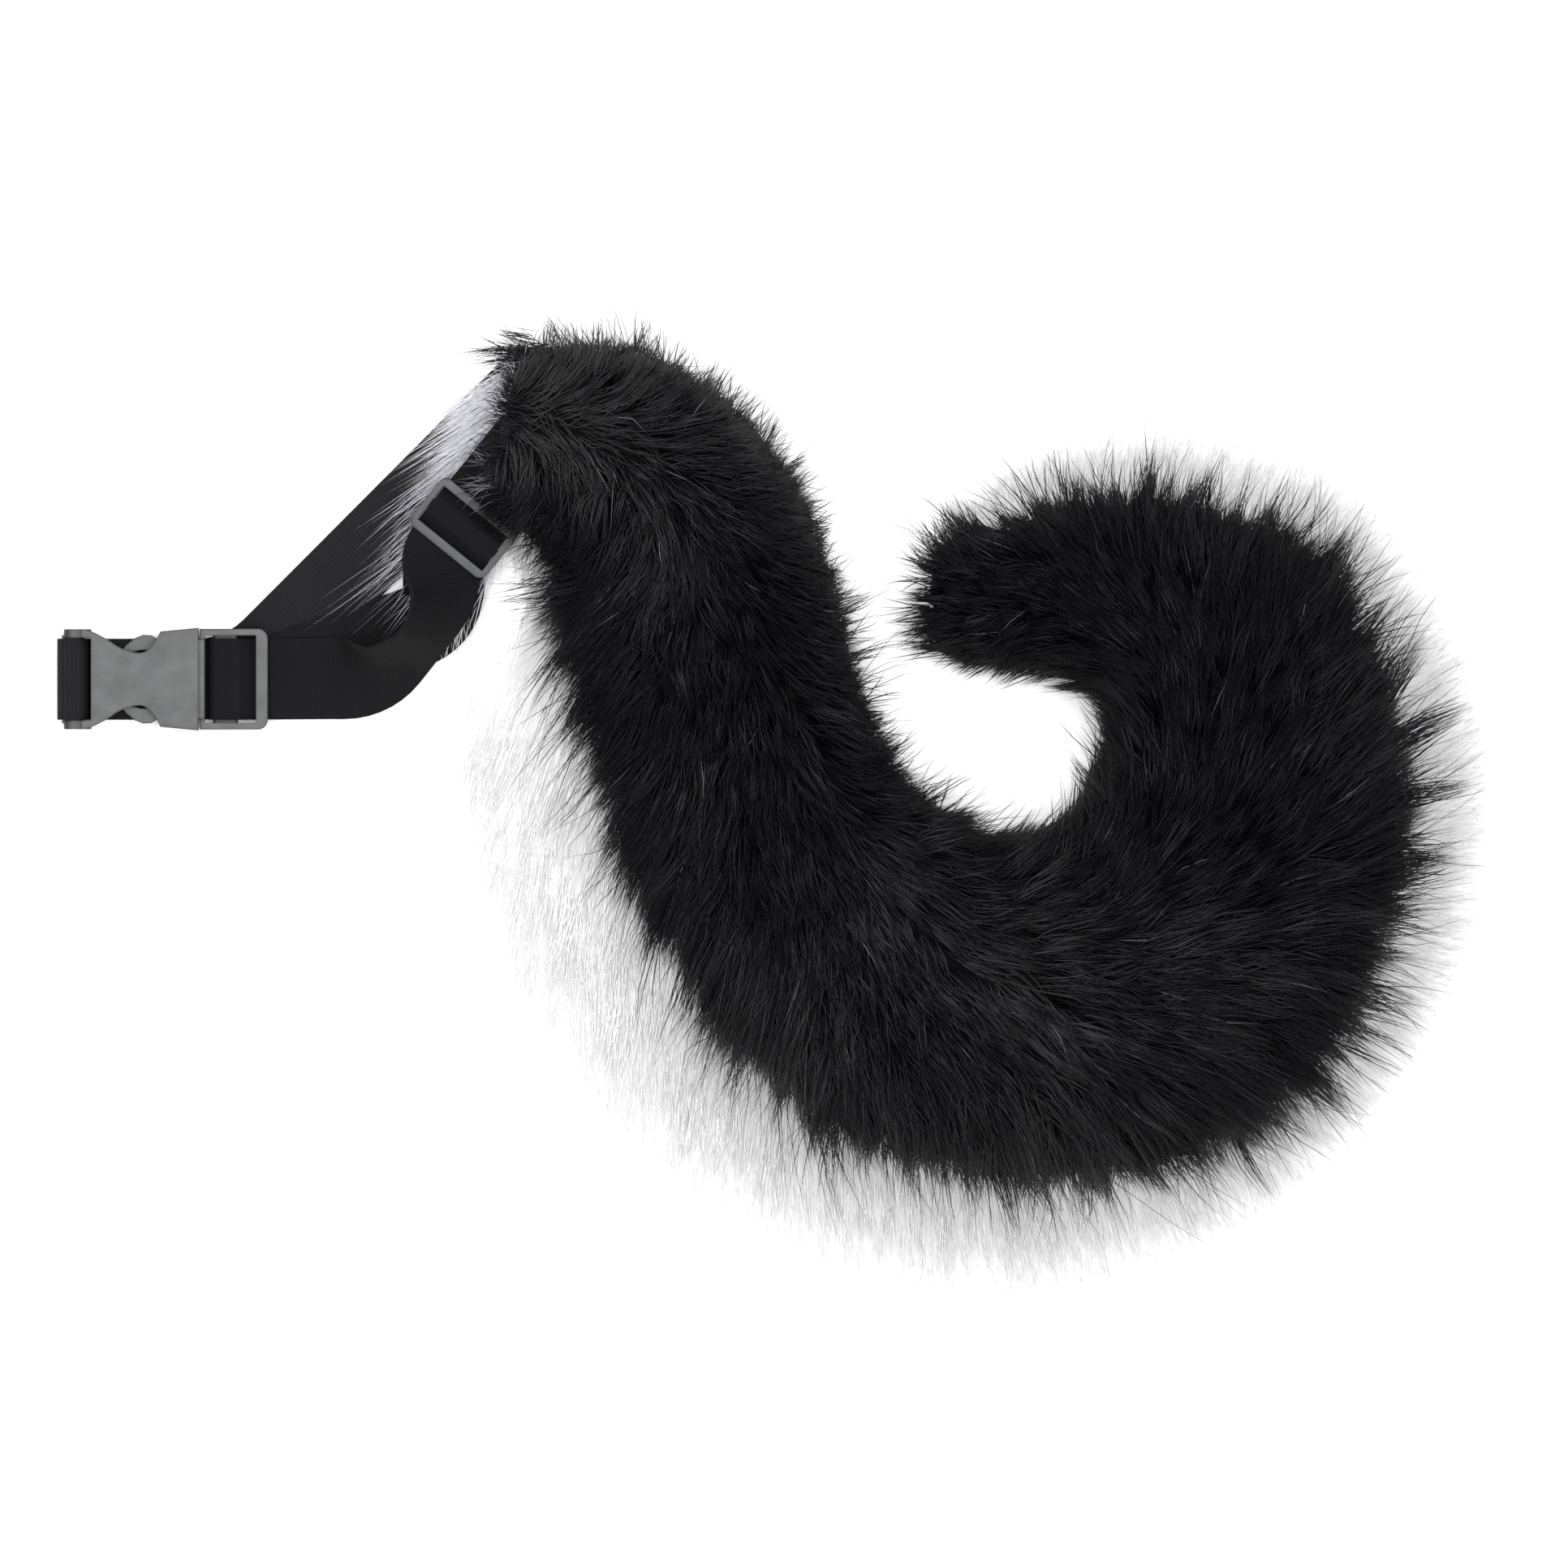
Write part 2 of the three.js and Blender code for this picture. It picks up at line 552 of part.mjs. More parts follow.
const LADDER_OPENING = LADDER_WIDTH / 2 - LADDER_RAIL;

// The belt's layout, from the tail's root.
const ANCHOR_ALONG = 8; // the adjustable strap's sewn end, from the root along the tail
const ANCHOR_ACROSS = 0.8;
const FIXED_ALONG = 4; // the fixed strap's sewn end, from the root along the tail
const FIXED_ACROSS = 17;
const FIXED_CORNER = 13; // from the mouth to the corner of the fixed strap's route
const FIXED_RADIUS = 32;

function levelWay(degrees) {
  return new THREE.Vector3(Math.cos(radians(degrees)), Math.sin(radians(degrees)), 0);
}

const sliderLevel = THIRD_LEVEL + (STRAP_RISE * LOWER_RUN) / (LOWER_RUN + STRAP_RUN);
const anchor = beside(ANCHOR_ALONG, ANCHOR_ACROSS, THIRD_LEVEL + STRAP_RISE);
const sliderAt = anchor.clone().addScaledVector(levelWay(STRAP_ANGLE), -STRAP_RUN).setZ(sliderLevel);
const bendCorner = sliderAt.clone().addScaledVector(levelWay(LOWER_ANGLE), -LOWER_RUN).setZ(THIRD_LEVEL);
const mouth = bendCorner.clone().add(new THREE.Vector3(-BUCKLE_RUN, 0, 0)).setZ(0);

function atBuckle(x, z) {
  return new THREE.Vector3(mouth.x + x, mouth.y, z);
}

// The slider's frame: along the strap's slope, across the webbing, and out of its face.
const slope = new THREE.Vector3().subVectors(anchor, sliderAt).normalize();
const sliderAcross = new THREE.Vector3().crossVectors(UP, slope).normalize();
const sliderOut = new THREE.Vector3().crossVectors(slope, sliderAcross).normalize();

function atSlider(along, out) {
  return sliderAt.clone().addScaledVector(slope, along).addScaledVector(sliderOut, out);
}

// Slider bars. The webbing's end is wrapped round the middle bar, under the running webbing.
const SLIDER_MIDDLE_RADIUS = 0.7;
const SLIDER_MIDDLE_FLAT = 1;
const SLIDER_WRAP = SLIDER_MIDDLE_RADIUS + BAR_CLEARANCE;
const SLIDER_MIDDLE_OUT = SLIDER_WRAP - LAYER;
const SLIDER_HUMP = SLIDER_MIDDLE_OUT + SLIDER_WRAP + LAYER;
const SLIDER_FACE = BAR_CLEARANCE; // underside of the outer bars
const SLIDER_SLOT = SLIDER_LENGTH / 2 - SLIDER_BAR;

const TIGHT_RADIUS = WEBBING_THICKNESS; // of the webbing's bends up and down over a bar
const RAMP_RUN = 3.8; // along the strap from a slot's edge to the top of the hump
const SLOT_EDGE = 0.1; // from a slot's edge to the foot of the ramp
const SLIDER_EXIT = 3; // past the slider, where the webbing turns towards the bend
function adjustableRoute() {
  const wrapX = LADDER_BAR_X - LADDER_BAR_RADIUS - BAR_CLEARANCE;
  const overBar = LADDER_BAR_Z + LADDER_BAR_RADIUS + BAR_CLEARANCE;
  const wrapRadius = (overBar - SECOND_LEVEL) / 2;
  const rampTop = LADDER_BAR_X + LADDER_BAR_FLAT + LADDER_BAR_RADIUS;
  const rampFoot = LADDER_END - LADDER_BAR - TIGHT_RADIUS;
  const returnBend = bendCorner.clone().setZ(SECOND_LEVEL);
  returnBend.x += RETURN_ALONG;
  returnBend.y += RETURN_ACROSS;
  const exit = -SLIDER_LENGTH / 2 - SLIDER_EXIT;
  const turnBack = SLIDER_MIDDLE_FLAT / 2 + SLIDER_WRAP;
  const overMiddle = 2 * SLIDER_WRAP - LAYER;
  const corners = [
    { at: anchor },
    { at: atSlider(SLIDER_SLOT - SLOT_EDGE, 0), radius: TIGHT_RADIUS },
    { at: atSlider(SLIDER_SLOT - RAMP_RUN, SLIDER_HUMP), radius: TIGHT_RADIUS },
    { at: atSlider(-SLIDER_SLOT + RAMP_RUN, SLIDER_HUMP), radius: TIGHT_RADIUS },
    { at: atSlider(-SLIDER_SLOT + SLOT_EDGE, 0), radius: TIGHT_RADIUS },
    { at: atSlider(exit, 0), radius: BEND_RADIUS },
    { at: bendCorner, radius: BEND_RADIUS },
    { at: atBuckle(rampFoot, THIRD_LEVEL), radius: TIGHT_RADIUS },
    { at: atBuckle(rampTop, overBar), radius: TIGHT_RADIUS },
    { at: atBuckle(wrapX, overBar), radius: wrapRadius },
    { at: atBuckle(wrapX, SECOND_LEVEL), radius: wrapRadius },
    { at: atBuckle(LADDER_END, SECOND_LEVEL), radius: BEND_RADIUS },
    { at: returnBend, radius: BEND_RADIUS },
    { at: atSlider(exit, -LAYER), radius: BEND_RADIUS },
    { at: atSlider(turnBack, -LAYER), radius: SLIDER_WRAP },
    { at: atSlider(turnBack, overMiddle), radius: SLIDER_WRAP },
    { at: atSlider(-SLIDER_MIDDLE_FLAT, overMiddle) },
  ];
  return routeStrap(corners, sliderAcross);
}

function fixedRoute() {
  const start = beside(FIXED_ALONG, FIXED_ACROSS, FIRST_LEVEL);
  const wrapRadius = SOCKET_BAR_RADIUS + BAR_CLEARANCE;
  const low = SOCKET_BAR_X - wrapRadius;
  const high = SOCKET_BAR_X + SOCKET_BAR_FLAT + wrapRadius;
  const top = SOCKET_BAR_Z + wrapRadius;
  const corner = atBuckle(FIXED_CORNER, FIRST_LEVEL);
  const across = new THREE.Vector3().crossVectors(UP, corner.clone().sub(start));
  const corners = [
    { at: start },
    { at: corner, radius: FIXED_RADIUS },
    { at: atBuckle(low, FIRST_LEVEL), radius: wrapRadius },
    { at: atBuckle(low, top), radius: wrapRadius },
    { at: atBuckle(high, top), radius: wrapRadius },
    { at: atBuckle(high, SECOND_LEVEL), radius: BAR_CLEARANCE },
    { at: atBuckle(high + SEWN_TAIL, SECOND_LEVEL) },
  ];
  return routeStrap(corners, across);
}

// A plate of an outline drawn in x and y, from one height to another.
const CURVE_STEPS = 5; // straight parts of each curve
function plate(shape, low, high) {
  const geometry = new THREE.ExtrudeGeometry(shape, {
    depth: high - low,
    bevelEnabled: false,
    curveSegments: CURVE_STEPS,
  });
  geometry.translate(0, 0, low);
  return toSolid(geometry);
}

function block(x0, x1, y0, y1, z0, z1) {
  const geometry = new THREE.BoxGeometry(x1 - x0, y1 - y0, z1 - z0);
  geometry.translate((x0 + x1) / 2, (y0 + y1) / 2, (z0 + z1) / 2);
  return toSolid(geometry);
}

// A bar along y with round edges, between x0 and x1, the centres of the edges.
const BAR_SEAT = 0.8; // how far a bar runs into what holds it
function roundBar(x0, x1, z, radius, halfLength) {
  const shape = new THREE.Shape();
  shape.absarc(x0, 0, radius, Math.PI / 2, Math.PI * 1.5);
  shape.absarc(x1, 0, radius, -Math.PI / 2, Math.PI / 2);
  const geometry = new THREE.ExtrudeGeometry(shape, {
    depth: 2 * halfLength,
    bevelEnabled: false,
    curveSegments: CURVE_STEPS,
  });
  geometry.translate(0, 0, -halfLength);
  geometry.rotateX(Math.PI / 2);
  geometry.translate(0, 0, z);
  return toSolid(geometry);
}

function roundedFrame(x0, x1, halfWidth, radius) {
  const shape = new THREE.Shape();
  shape.moveTo(x0, -halfWidth);
  shape.lineTo(x1 - radius, -halfWidth);
  shape.absarc(x1 - radius, -halfWidth + radius, radius, -Math.PI / 2, 0);
  shape.absarc(x1 - radius, halfWidth - radius, radius, 0, Math.PI / 2);
  shape.lineTo(x0, halfWidth);
  return shape;
}

// Socket: an hourglass box, open at the mouth and at both sides of its waist, with two horns that
// hold the strap's bar.
const WAIST_X = -0.43 * SOCKET_LENGTH; // the waist's narrowest place
const SHOULDER_X = -0.28 * SOCKET_LENGTH; // the end of the mouth's straight sides
const FLARE_X = -0.66 * SOCKET_LENGTH; // the middle of the flare towards the horns
const SHOULDER_DROP = 1.1; // how much narrower the shoulder is than the mouth, at one side
const HORN_DROP = 0.4; // and the horns
const HORN_RADIUS = 3;
const ROOM_SHARE = 0.66; // the hollow's share of the socket's length
const ARM_ROOM = 0.1; // play of the arms in the hollow, at each side
function buckleSocket() {
  const half = SOCKET_WIDTH / 2;
  const waist = SOCKET_WAIST / 2;
  const shoulder = half - SHOULDER_DROP;
  const hornHalf = half - HORN_DROP;
  const hornX = -SOCKET_LENGTH;
  const bodyX = SOCKET_BAR_X + SOCKET_BAR_FLAT + SOCKET_BAR_RADIUS + 2 * BAR_CLEARANCE + GAP;
  const inner = WEBBING_WIDTH / 2 + GAP;
  const top = BUCKLE_BASE + SOCKET_THICKNESS;
  const outline = new THREE.Shape();
  outline.moveTo(0, -half);
  outline.lineTo(0, half);
  outline.lineTo(SHOULDER_X, shoulder);
  outline.quadraticCurveTo((SHOULDER_X + WAIST_X) / 2, waist, WAIST_X, waist);
  outline.quadraticCurveTo((WAIST_X + FLARE_X) / 2, waist, FLARE_X, (waist + hornHalf) / 2);
  outline.quadraticCurveTo(bodyX, hornHalf, bodyX - HORN_RADIUS, hornHalf);
  outline.lineTo(bodyX - HORN_RADIUS, inner);
  outline.lineTo(bodyX, inner);
  outline.lineTo(bodyX, -inner);
  outline.lineTo(bodyX - HORN_RADIUS, -inner);
  outline.lineTo(bodyX - HORN_RADIUS, -hornHalf);
  outline.quadraticCurveTo(bodyX, -hornHalf, FLARE_X, -(waist + hornHalf) / 2);
  outline.quadraticCurveTo((WAIST_X + FLARE_X) / 2, -waist, WAIST_X, -waist);
  outline.quadraticCurveTo((SHOULDER_X + WAIST_X) / 2, -waist, SHOULDER_X, -shoulder);
  let solid = plate(outline, BUCKLE_BASE, top);
  const room = WEBBING_WIDTH / 2 + ARM_ROOM;
  solid = solid.subtract(
    block(-SOCKET_LENGTH * ROOM_SHARE, 1, -room, room, BUCKLE_BASE + SOCKET_WALL, top - SOCKET_WALL),
  );
  const hornLevel = SOCKET_BAR_Z - SOCKET_BAR_RADIUS - ARM_ROOM + HORN_RADIUS;
  const hornEnd = bodyX - HORN_RADIUS;
  for (const side of [-1, 1]) {
    const horn = roundBar(hornX + HORN_RADIUS, hornEnd, hornLevel, HORN_RADIUS, (hornHalf - inner) / 2);
    solid = solid.add(horn.translate([0, (side * (inner + hornHalf)) / 2, 0]));
  }
  return solid.add(roundBar(
    SOCKET_BAR_X,
    SOCKET_BAR_X + SOCKET_BAR_FLAT,
    SOCKET_BAR_Z,
    SOCKET_BAR_RADIUS,
    inner + BAR_SEAT,
  ));
}

// Insert: two spring arms and a guide in the socket, and the ladder frame outside it.
const NECK_LENGTH = 4; // of the solid neck behind the ladder
const GUIDE_LENGTH = 0.45 * SOCKET_LENGTH;
const GUIDE_HALF = 2;
const ARM_LENGTH = 0.6 * SOCKET_LENGTH;
const ARM_TIP_SHARE = 0.8; // where an arm's end lies, as a share of its inner side's distance
const PAD_START = 0.6; // from the socket's shoulder to the thumb pad
function buckleInsert() {
  const ladderTop = BUCKLE_BASE + LADDER_THICKNESS;
  const half = LADDER_WIDTH / 2;
  const frame = roundedFrame(LADDER_START, LADDER_END, half, LADDER_CORNER);
  let solid = plate(frame, BUCKLE_BASE, ladderTop);
  const windowX = LADDER_START + LADDER_CROSS;
  const outerBarX = LADDER_END - LADDER_BAR;
  const wide = LADDER_OPENING;
  solid = solid.subtract(block(windowX, outerBarX, -wide, wide, BUCKLE_BASE - 1, ladderTop + 1));
  const passage = THIRD_LEVEL + BAR_CLEARANCE;
  solid = solid.subtract(block(outerBarX - 1, LADDER_END + 1, -wide, wide, BUCKLE_BASE - 1, passage));
  solid = solid.add(
    roundBar(
      LADDER_BAR_X,
      LADDER_BAR_X + LADDER_BAR_FLAT,
      LADDER_BAR_Z,
      LADDER_BAR_RADIUS,
      wide + BAR_SEAT,
    ),
  );
  const low = BUCKLE_BASE + SOCKET_WALL + GAP;
  const high = BUCKLE_BASE + SOCKET_THICKNESS - SOCKET_WALL - GAP;
  const neckHalf = WEBBING_WIDTH / 2 - GAP;
  solid = solid.add(block(-NECK_LENGTH, windowX, -neckHalf, neckHalf, low, high));
  solid = solid.add(block(-GUIDE_LENGTH, -NECK_LENGTH / 2, -GUIDE_HALF, GUIDE_HALF, low, high));
  const padEnd = SHOULDER_X - PAD_START;
  for (const side of [-1, 1]) {
    const arm = new THREE.Shape();
    const outer = neckHalf * side;
    const inner = (neckHalf - ARM_WIDTH) * side;
    const pad = (neckHalf + 2 * ARM_BULGE) * side;
    arm.moveTo(-NECK_LENGTH / 2, outer);
    arm.lineTo(-NECK_LENGTH / 2, inner);
    arm.lineTo(WAIST_X, inner);
    arm.lineTo(-ARM_LENGTH, inner * ARM_TIP_SHARE);
    arm.quadraticCurveTo(WAIST_X, pad, padEnd, outer);
    solid = solid.add(plate(arm, low, high));
  }
  return solid;
}

// Slider: a frame with rounded corners. Its middle bar lies lower than its two outer bars.
function sliderSolid() {
  const half = SLIDER_LENGTH / 2;
  const low = SLIDER_MIDDLE_OUT - SLIDER_MIDDLE_RADIUS;
  const high = SLIDER_FACE + SLIDER_THICKNESS;
  const radius = SLIDER_CORNER;
  const outline = new THREE.Shape();
  const wide = SLIDER_WIDTH / 2;
  outline.absarc(half - radius, wide - radius, radius, 0, Math.PI / 2);
  outline.absarc(-half + radius, wide - radius, radius, Math.PI / 2, Math.PI);
  outline.absarc(-half + radius, -wide + radius, radius, Math.PI, Math.PI * 1.5);
  outline.absarc(half - radius, -wide + radius, radius, Math.PI * 1.5, Math.PI * 2);
  let solid = plate(outline, low, high);
  const open = WEBBING_WIDTH / 2 + GAP;
  solid = solid.subtract(block(-SLIDER_SLOT, SLIDER_SLOT, -open, open, low - 1, high + 1));
  solid = solid.subtract(block(-half - 1, half + 1, -open, open, low - 1, SLIDER_FACE));
  return solid.add(roundBar(
    -SLIDER_MIDDLE_FLAT / 2,
    SLIDER_MIDDLE_FLAT / 2,
    SLIDER_MIDDLE_OUT,
    SLIDER_MIDDLE_RADIUS,
    open + BAR_SEAT,
  ));
}

// The slider's own room among the fur.
function sliderRoom() {
  const wide = SLIDER_WIDTH / 2 + GAP;
  const half = SLIDER_LENGTH / 2 + GAP;
  const low = SLIDER_MIDDLE_OUT - SLIDER_MIDDLE_RADIUS - GAP;
  const high = SLIDER_HUMP + BAR_CLEARANCE;
  const geometry = new THREE.BoxGeometry(2 * half, 2 * wide, high - low);
  geometry.translate(0, 0, (low + high) / 2);
  const frame = new THREE.Matrix4().makeBasis(slope, sliderAcross, sliderOut).setPosition(sliderAt);
  geometry.applyMatrix4(frame);
  return toSolid(geometry);
}

function named(name, geometry, material) {
  const mesh = new THREE.Mesh(geometry, material);
  mesh.name = name;
  return mesh;
}

const adjustable = adjustableRoute();
const fixed = fixedRoute();
const room = roomAboveSeam();
const beltRoom = sweepStrap(adjustable, GAP).add(sweepStrap(fixed, GAP)).add(sliderRoom());

const blackFur = wasm.Manifold.union([blackBody(), ...blackLocks(), ...tipLocks(), ...rootLocks()])
  .intersect(room.translate([0, 0, GAP]))
  .subtract(beltRoom);
const whiteFur = wasm.Manifold.union([whiteBody(), ...whiteLocks(), ...whiteTuft()])
  .subtract(room)
  .intersect(block(-TAIL_LENGTH, TAIL_LENGTH, -TAIL_LENGTH, TAIL_LENGTH, 0, FUR_HEIGHT))
  .subtract(beltRoom);

const tail = new THREE.Group();
tail.add(named('tail_fur_black', toGeometry(blackFur), black));
tail.add(named('tail_fur_white', toGeometry(whiteFur), white));

const belt = new THREE.Group();
belt.add(named('strap_adjustable', toGeometry(sweepStrap(adjustable)), webbing));
belt.add(named('strap_fixed', toGeometry(sweepStrap(fixed)), webbing.clone()));

const buckle = new THREE.Group();
buckle.position.copy(mouth);
buckle.add(named('buckle_socket', toGeometry(buckleSocket()), plastic));
buckle.add(named('buckle_insert', toGeometry(buckleInsert()), plastic.clone()));
belt.add(buckle);

const slider = named('slider', toGeometry(sliderSolid()), plastic.clone());
slider.quaternion.setFromRotationMatrix(new THREE.Matrix4().makeBasis(slope, sliderAcross, sliderOut));
slider.position.copy(sliderAt);
belt.add(slider);

// The origin is at the middle of the whole object's underside.
const group = new THREE.Group();
group.add(tail, belt);
group.updateMatrixWorld(true);
const box = new THREE.Box3().setFromObject(group, true);
const middle = box.getCenter(new THREE.Vector3());
group.position.set(-middle.x, -middle.y, -box.min.z);
group.updateMatrixWorld(true);

export default group;
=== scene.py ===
"""Looks of a curled costume animal tail on its webbing belt, lying on a pale floor.

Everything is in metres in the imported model's frame: +X from the buckle towards the curl, +Y from the
curl's outer bend towards the tail's root, +Z up from the surface that the tail lies on.
"""

import logging
import math
from collections.abc import Callable, Sequence
from dataclasses import dataclass, field
from enum import Enum

import bpy
import numpy as np
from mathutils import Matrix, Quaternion, Vector
from mathutils.kdtree import KDTree


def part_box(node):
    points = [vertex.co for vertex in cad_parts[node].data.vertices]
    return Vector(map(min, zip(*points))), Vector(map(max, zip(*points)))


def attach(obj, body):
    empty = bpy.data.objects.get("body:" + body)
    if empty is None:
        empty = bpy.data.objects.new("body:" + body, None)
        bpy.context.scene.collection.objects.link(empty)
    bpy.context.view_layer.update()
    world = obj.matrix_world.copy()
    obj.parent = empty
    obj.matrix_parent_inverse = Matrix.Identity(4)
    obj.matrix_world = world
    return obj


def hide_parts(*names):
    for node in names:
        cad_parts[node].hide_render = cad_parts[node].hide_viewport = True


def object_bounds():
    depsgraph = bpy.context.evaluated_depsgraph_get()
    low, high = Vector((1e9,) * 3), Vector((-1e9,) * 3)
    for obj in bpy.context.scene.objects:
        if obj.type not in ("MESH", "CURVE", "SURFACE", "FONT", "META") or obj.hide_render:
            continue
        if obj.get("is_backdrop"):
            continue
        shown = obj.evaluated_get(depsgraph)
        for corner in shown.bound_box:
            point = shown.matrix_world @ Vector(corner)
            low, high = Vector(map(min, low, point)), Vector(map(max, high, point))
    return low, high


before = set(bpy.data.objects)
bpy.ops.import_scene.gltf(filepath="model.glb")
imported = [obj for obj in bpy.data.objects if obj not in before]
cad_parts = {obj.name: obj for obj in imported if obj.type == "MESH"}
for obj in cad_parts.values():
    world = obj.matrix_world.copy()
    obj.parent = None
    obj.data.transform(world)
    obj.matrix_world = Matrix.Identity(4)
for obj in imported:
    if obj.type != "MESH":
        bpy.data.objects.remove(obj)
CAD_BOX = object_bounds()

LOG = logging.getLogger("tail")
BODY = "root"
MM = 0.001
UP = Vector((0.0, 0.0, 1.0))
WHITE = (1.0, 1.0, 1.0)
BLACK = (0.0, 0.0, 0.0)
# the lightest shade of a plain hair in its UV map, and the least shade of a rare pale one
LIGHT_END = 0.89
STRAY_START = 0.94

Array = np.ndarray
Piece = bpy.types.Object
Random = np.random.Generator
Socket = bpy.types.NodeSocket
Triple = tuple[float, float, float]


class Slot(Enum):
    """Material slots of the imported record."""

    FUR_BLACK = "fur_black"
    FUR_WHITE = "fur_white"
    WEBBING = "webbing"
    BUCKLE = "buckle_plastic"
    SLIDER = "slider_plastic"


# Materials


class Graph:
    """A small helper that wires one material's nodes."""

    def __init__(self, name: str) -> None:
        """Starts an empty material with a Principled shader.

        Args:
            name: The material's name.
        """
        self.material = bpy.data.materials.new(name)
        self.material.use_nodes = True
        self.tree = self.material.node_tree
        self.tree.nodes.clear()
        self.shader = self.tree.nodes.new("ShaderNodeBsdfPrincipled")
        output = self.tree.nodes.new("ShaderNodeOutputMaterial")
        self.tree.links.new(self.shader.outputs["BSDF"], output.inputs["Surface"])

    def node(self, kind: str, **settings: object) -> bpy.types.Node:
        """Adds a node and sets its properties.

        Args:
            kind: Blender's name of the node type.
            settings: Properties of the node.

        Returns:
            The new node.
        """
        made = self.tree.nodes.new(kind)
        for key, value in settings.items():
            setattr(made, key, value)
        return made

    def link(self, source: Socket, target: Socket) -> None:
        """Joins two sockets."""
        self.tree.links.new(source, target)

    def math(self, operation: str, *values: object) -> Socket:
        """Adds a Math node over sockets or numbers.

        Args:
            operation: The Math node's operation.
            values: Its inputs, in order.

        Returns:
            Its output socket.
        """
        made = self.node("ShaderNodeMath", operation=operation)
        for socket, value in zip(made.inputs, values):
            if isinstance(value, Socket):
                self.link(value, socket)
            else:
                socket.default_value = value
        return made.outputs[0]

    def uv(self, name: str) -> tuple[Socket, Socket]:
        """Returns the two parts of a UV map."""
        split = self.node("ShaderNodeSeparateXYZ")
        self.link(self.node("ShaderNodeUVMap", uv_map=name).outputs["UV"], split.inputs[0])
        return split.outputs["X"], split.outputs["Y"]

    def noise(self, scale: float, detail: float, source: Socket | None = None) -> Socket:
        """Adds a Noise texture, on Object coordinates unless a source is given.

        Args:
            scale: Cells for each unit of the source.
            detail: Octaves.
            source: The coordinates, or None for Object coordinates.

        Returns:
            The noise value.
        """
        made = self.node("ShaderNodeTexNoise")
        made.inputs["Scale"].default_value = scale
        made.inputs["Detail"].default_value = detail
        if source is None:
            source = self.node("ShaderNodeTexCoord").outputs["Object"]
        self.link(source, made.inputs["Vector"])
        return made.outputs["Fac"]

    def ramp(self, source: Socket, stops: Sequence[tuple[float, Triple]]) -> Socket:
        """Adds a colour ramp.

        Args:
            source: The value that drives it.
            stops: Positions and linear colours.

        Returns:
            The colour.
        """
        made = self.node("ShaderNodeValToRGB")
        self.link(source, made.inputs["Fac"])
        elements = made.color_ramp.elements
        while len(elements) < len(stops):
            elements.new(0.5)
        for element, (place, colour) in zip(elements, stops):
            element.position = place
            element.color = (*colour, 1.0)
        return made.outputs["Color"]

    def mix(self, share: object, first: object, second: object) -> Socket:
        """Mixes two colours by a share.

        Args:
            share: A socket or a number from 0 to 1.
            first: The colour, or its socket, at 0.
            second: The colour, or its socket, at 1.

        Returns:
            The mixed colour.
        """
        made = self.node("ShaderNodeMix", data_type="RGBA")
        sockets = (made.inputs[0], made.inputs[6], made.inputs[7])
        for socket, value in zip(sockets, (share, first, second)):
            if isinstance(value, Socket):
                self.link(value, socket)
            elif isinstance(value, tuple):
                socket.default_value = (*value, 1.0)
            else:
                socket.default_value = value
        return made.outputs[2]

    def bump(self, height: Socket, depth: float) -> None:
        """Gives the shader a bump.

        Args:
            height: The height, from 0 to 1.
            depth: What a height of 1 stands for, in metres.
        """
        made = self.node("ShaderNodeBump")
        made.inputs["Distance"].default_value = depth
        made.inputs["Strength"].default_value = 1.0
        self.link(height, made.inputs["Height"])
        self.link(made.outputs["Normal"], self.shader.inputs["Normal"])

    def set(self, **values: object) -> None:
        """Sets plain values on the shader's sockets, named with underscores for spaces."""
        for key, value in values.items():
            self.shader.inputs[key.replace("_", " ")].default_value = value


@dataclass(frozen=True)
class FurFinish:
    """Hair whose colour runs from root to tip and varies from strand to strand.

    Each strand's UV map holds its own shade across and the way from root to tip along.
    """

    name: str
    dark: Triple
    main: Triple
    light: Triple
    stray: Triple
    roughness: float
    shine: float
    root: float = 0.45

    def build(self) -> bpy.types.Material:
        """Makes the material.

        Returns:
            The material.
        """
        graph = Graph(self.name)
        strand, along = graph.uv("Strand")
        shades = ((0.0, self.dark), (0.45, self.main), (0.9, self.light), (0.97, self.stray))
        shade = graph.ramp(strand, shades)
        root = graph.ramp(along, ((0.0, (self.root, self.root, self.root)), (0.6, WHITE)))
        colour = graph.node("ShaderNodeMix", data_type="RGBA", blend_type="MULTIPLY")
        colour.inputs[0].default_value = 1.0
        graph.link(shade, colour.inputs[6])
        graph.link(root, colour.inputs[7])
        graph.link(colour.outputs[2], graph.shader.inputs["Base Color"])
        graph.set(Roughness=self.roughness, Specular_IOR_Level=self.shine)
        return graph.material


@dataclass(frozen=True)
class UnderfurFinish:
    """The dense short underfur over the stuffed body."""

    name: str
    low: Triple
    high: Triple
    shine: float

    def build(self) -> bpy.types.Material:
        """Makes the material.

        Returns:
            The material.
        """
        graph = Graph(self.name)
        fine = graph.noise(900.0, 4.0)
        broad = graph.noise(60.0, 3.0)
        both = graph.math("MULTIPLY", fine, broad)
        graph.link(graph.ramp(both, ((0.1, self.low), (0.45, self.high))), graph.shader.inputs["Base Color"])
        graph.bump(fine, 0.8 * MM)
        graph.set(Roughness=0.95, Specular_IOR_Level=self.shine)
        return graph.material


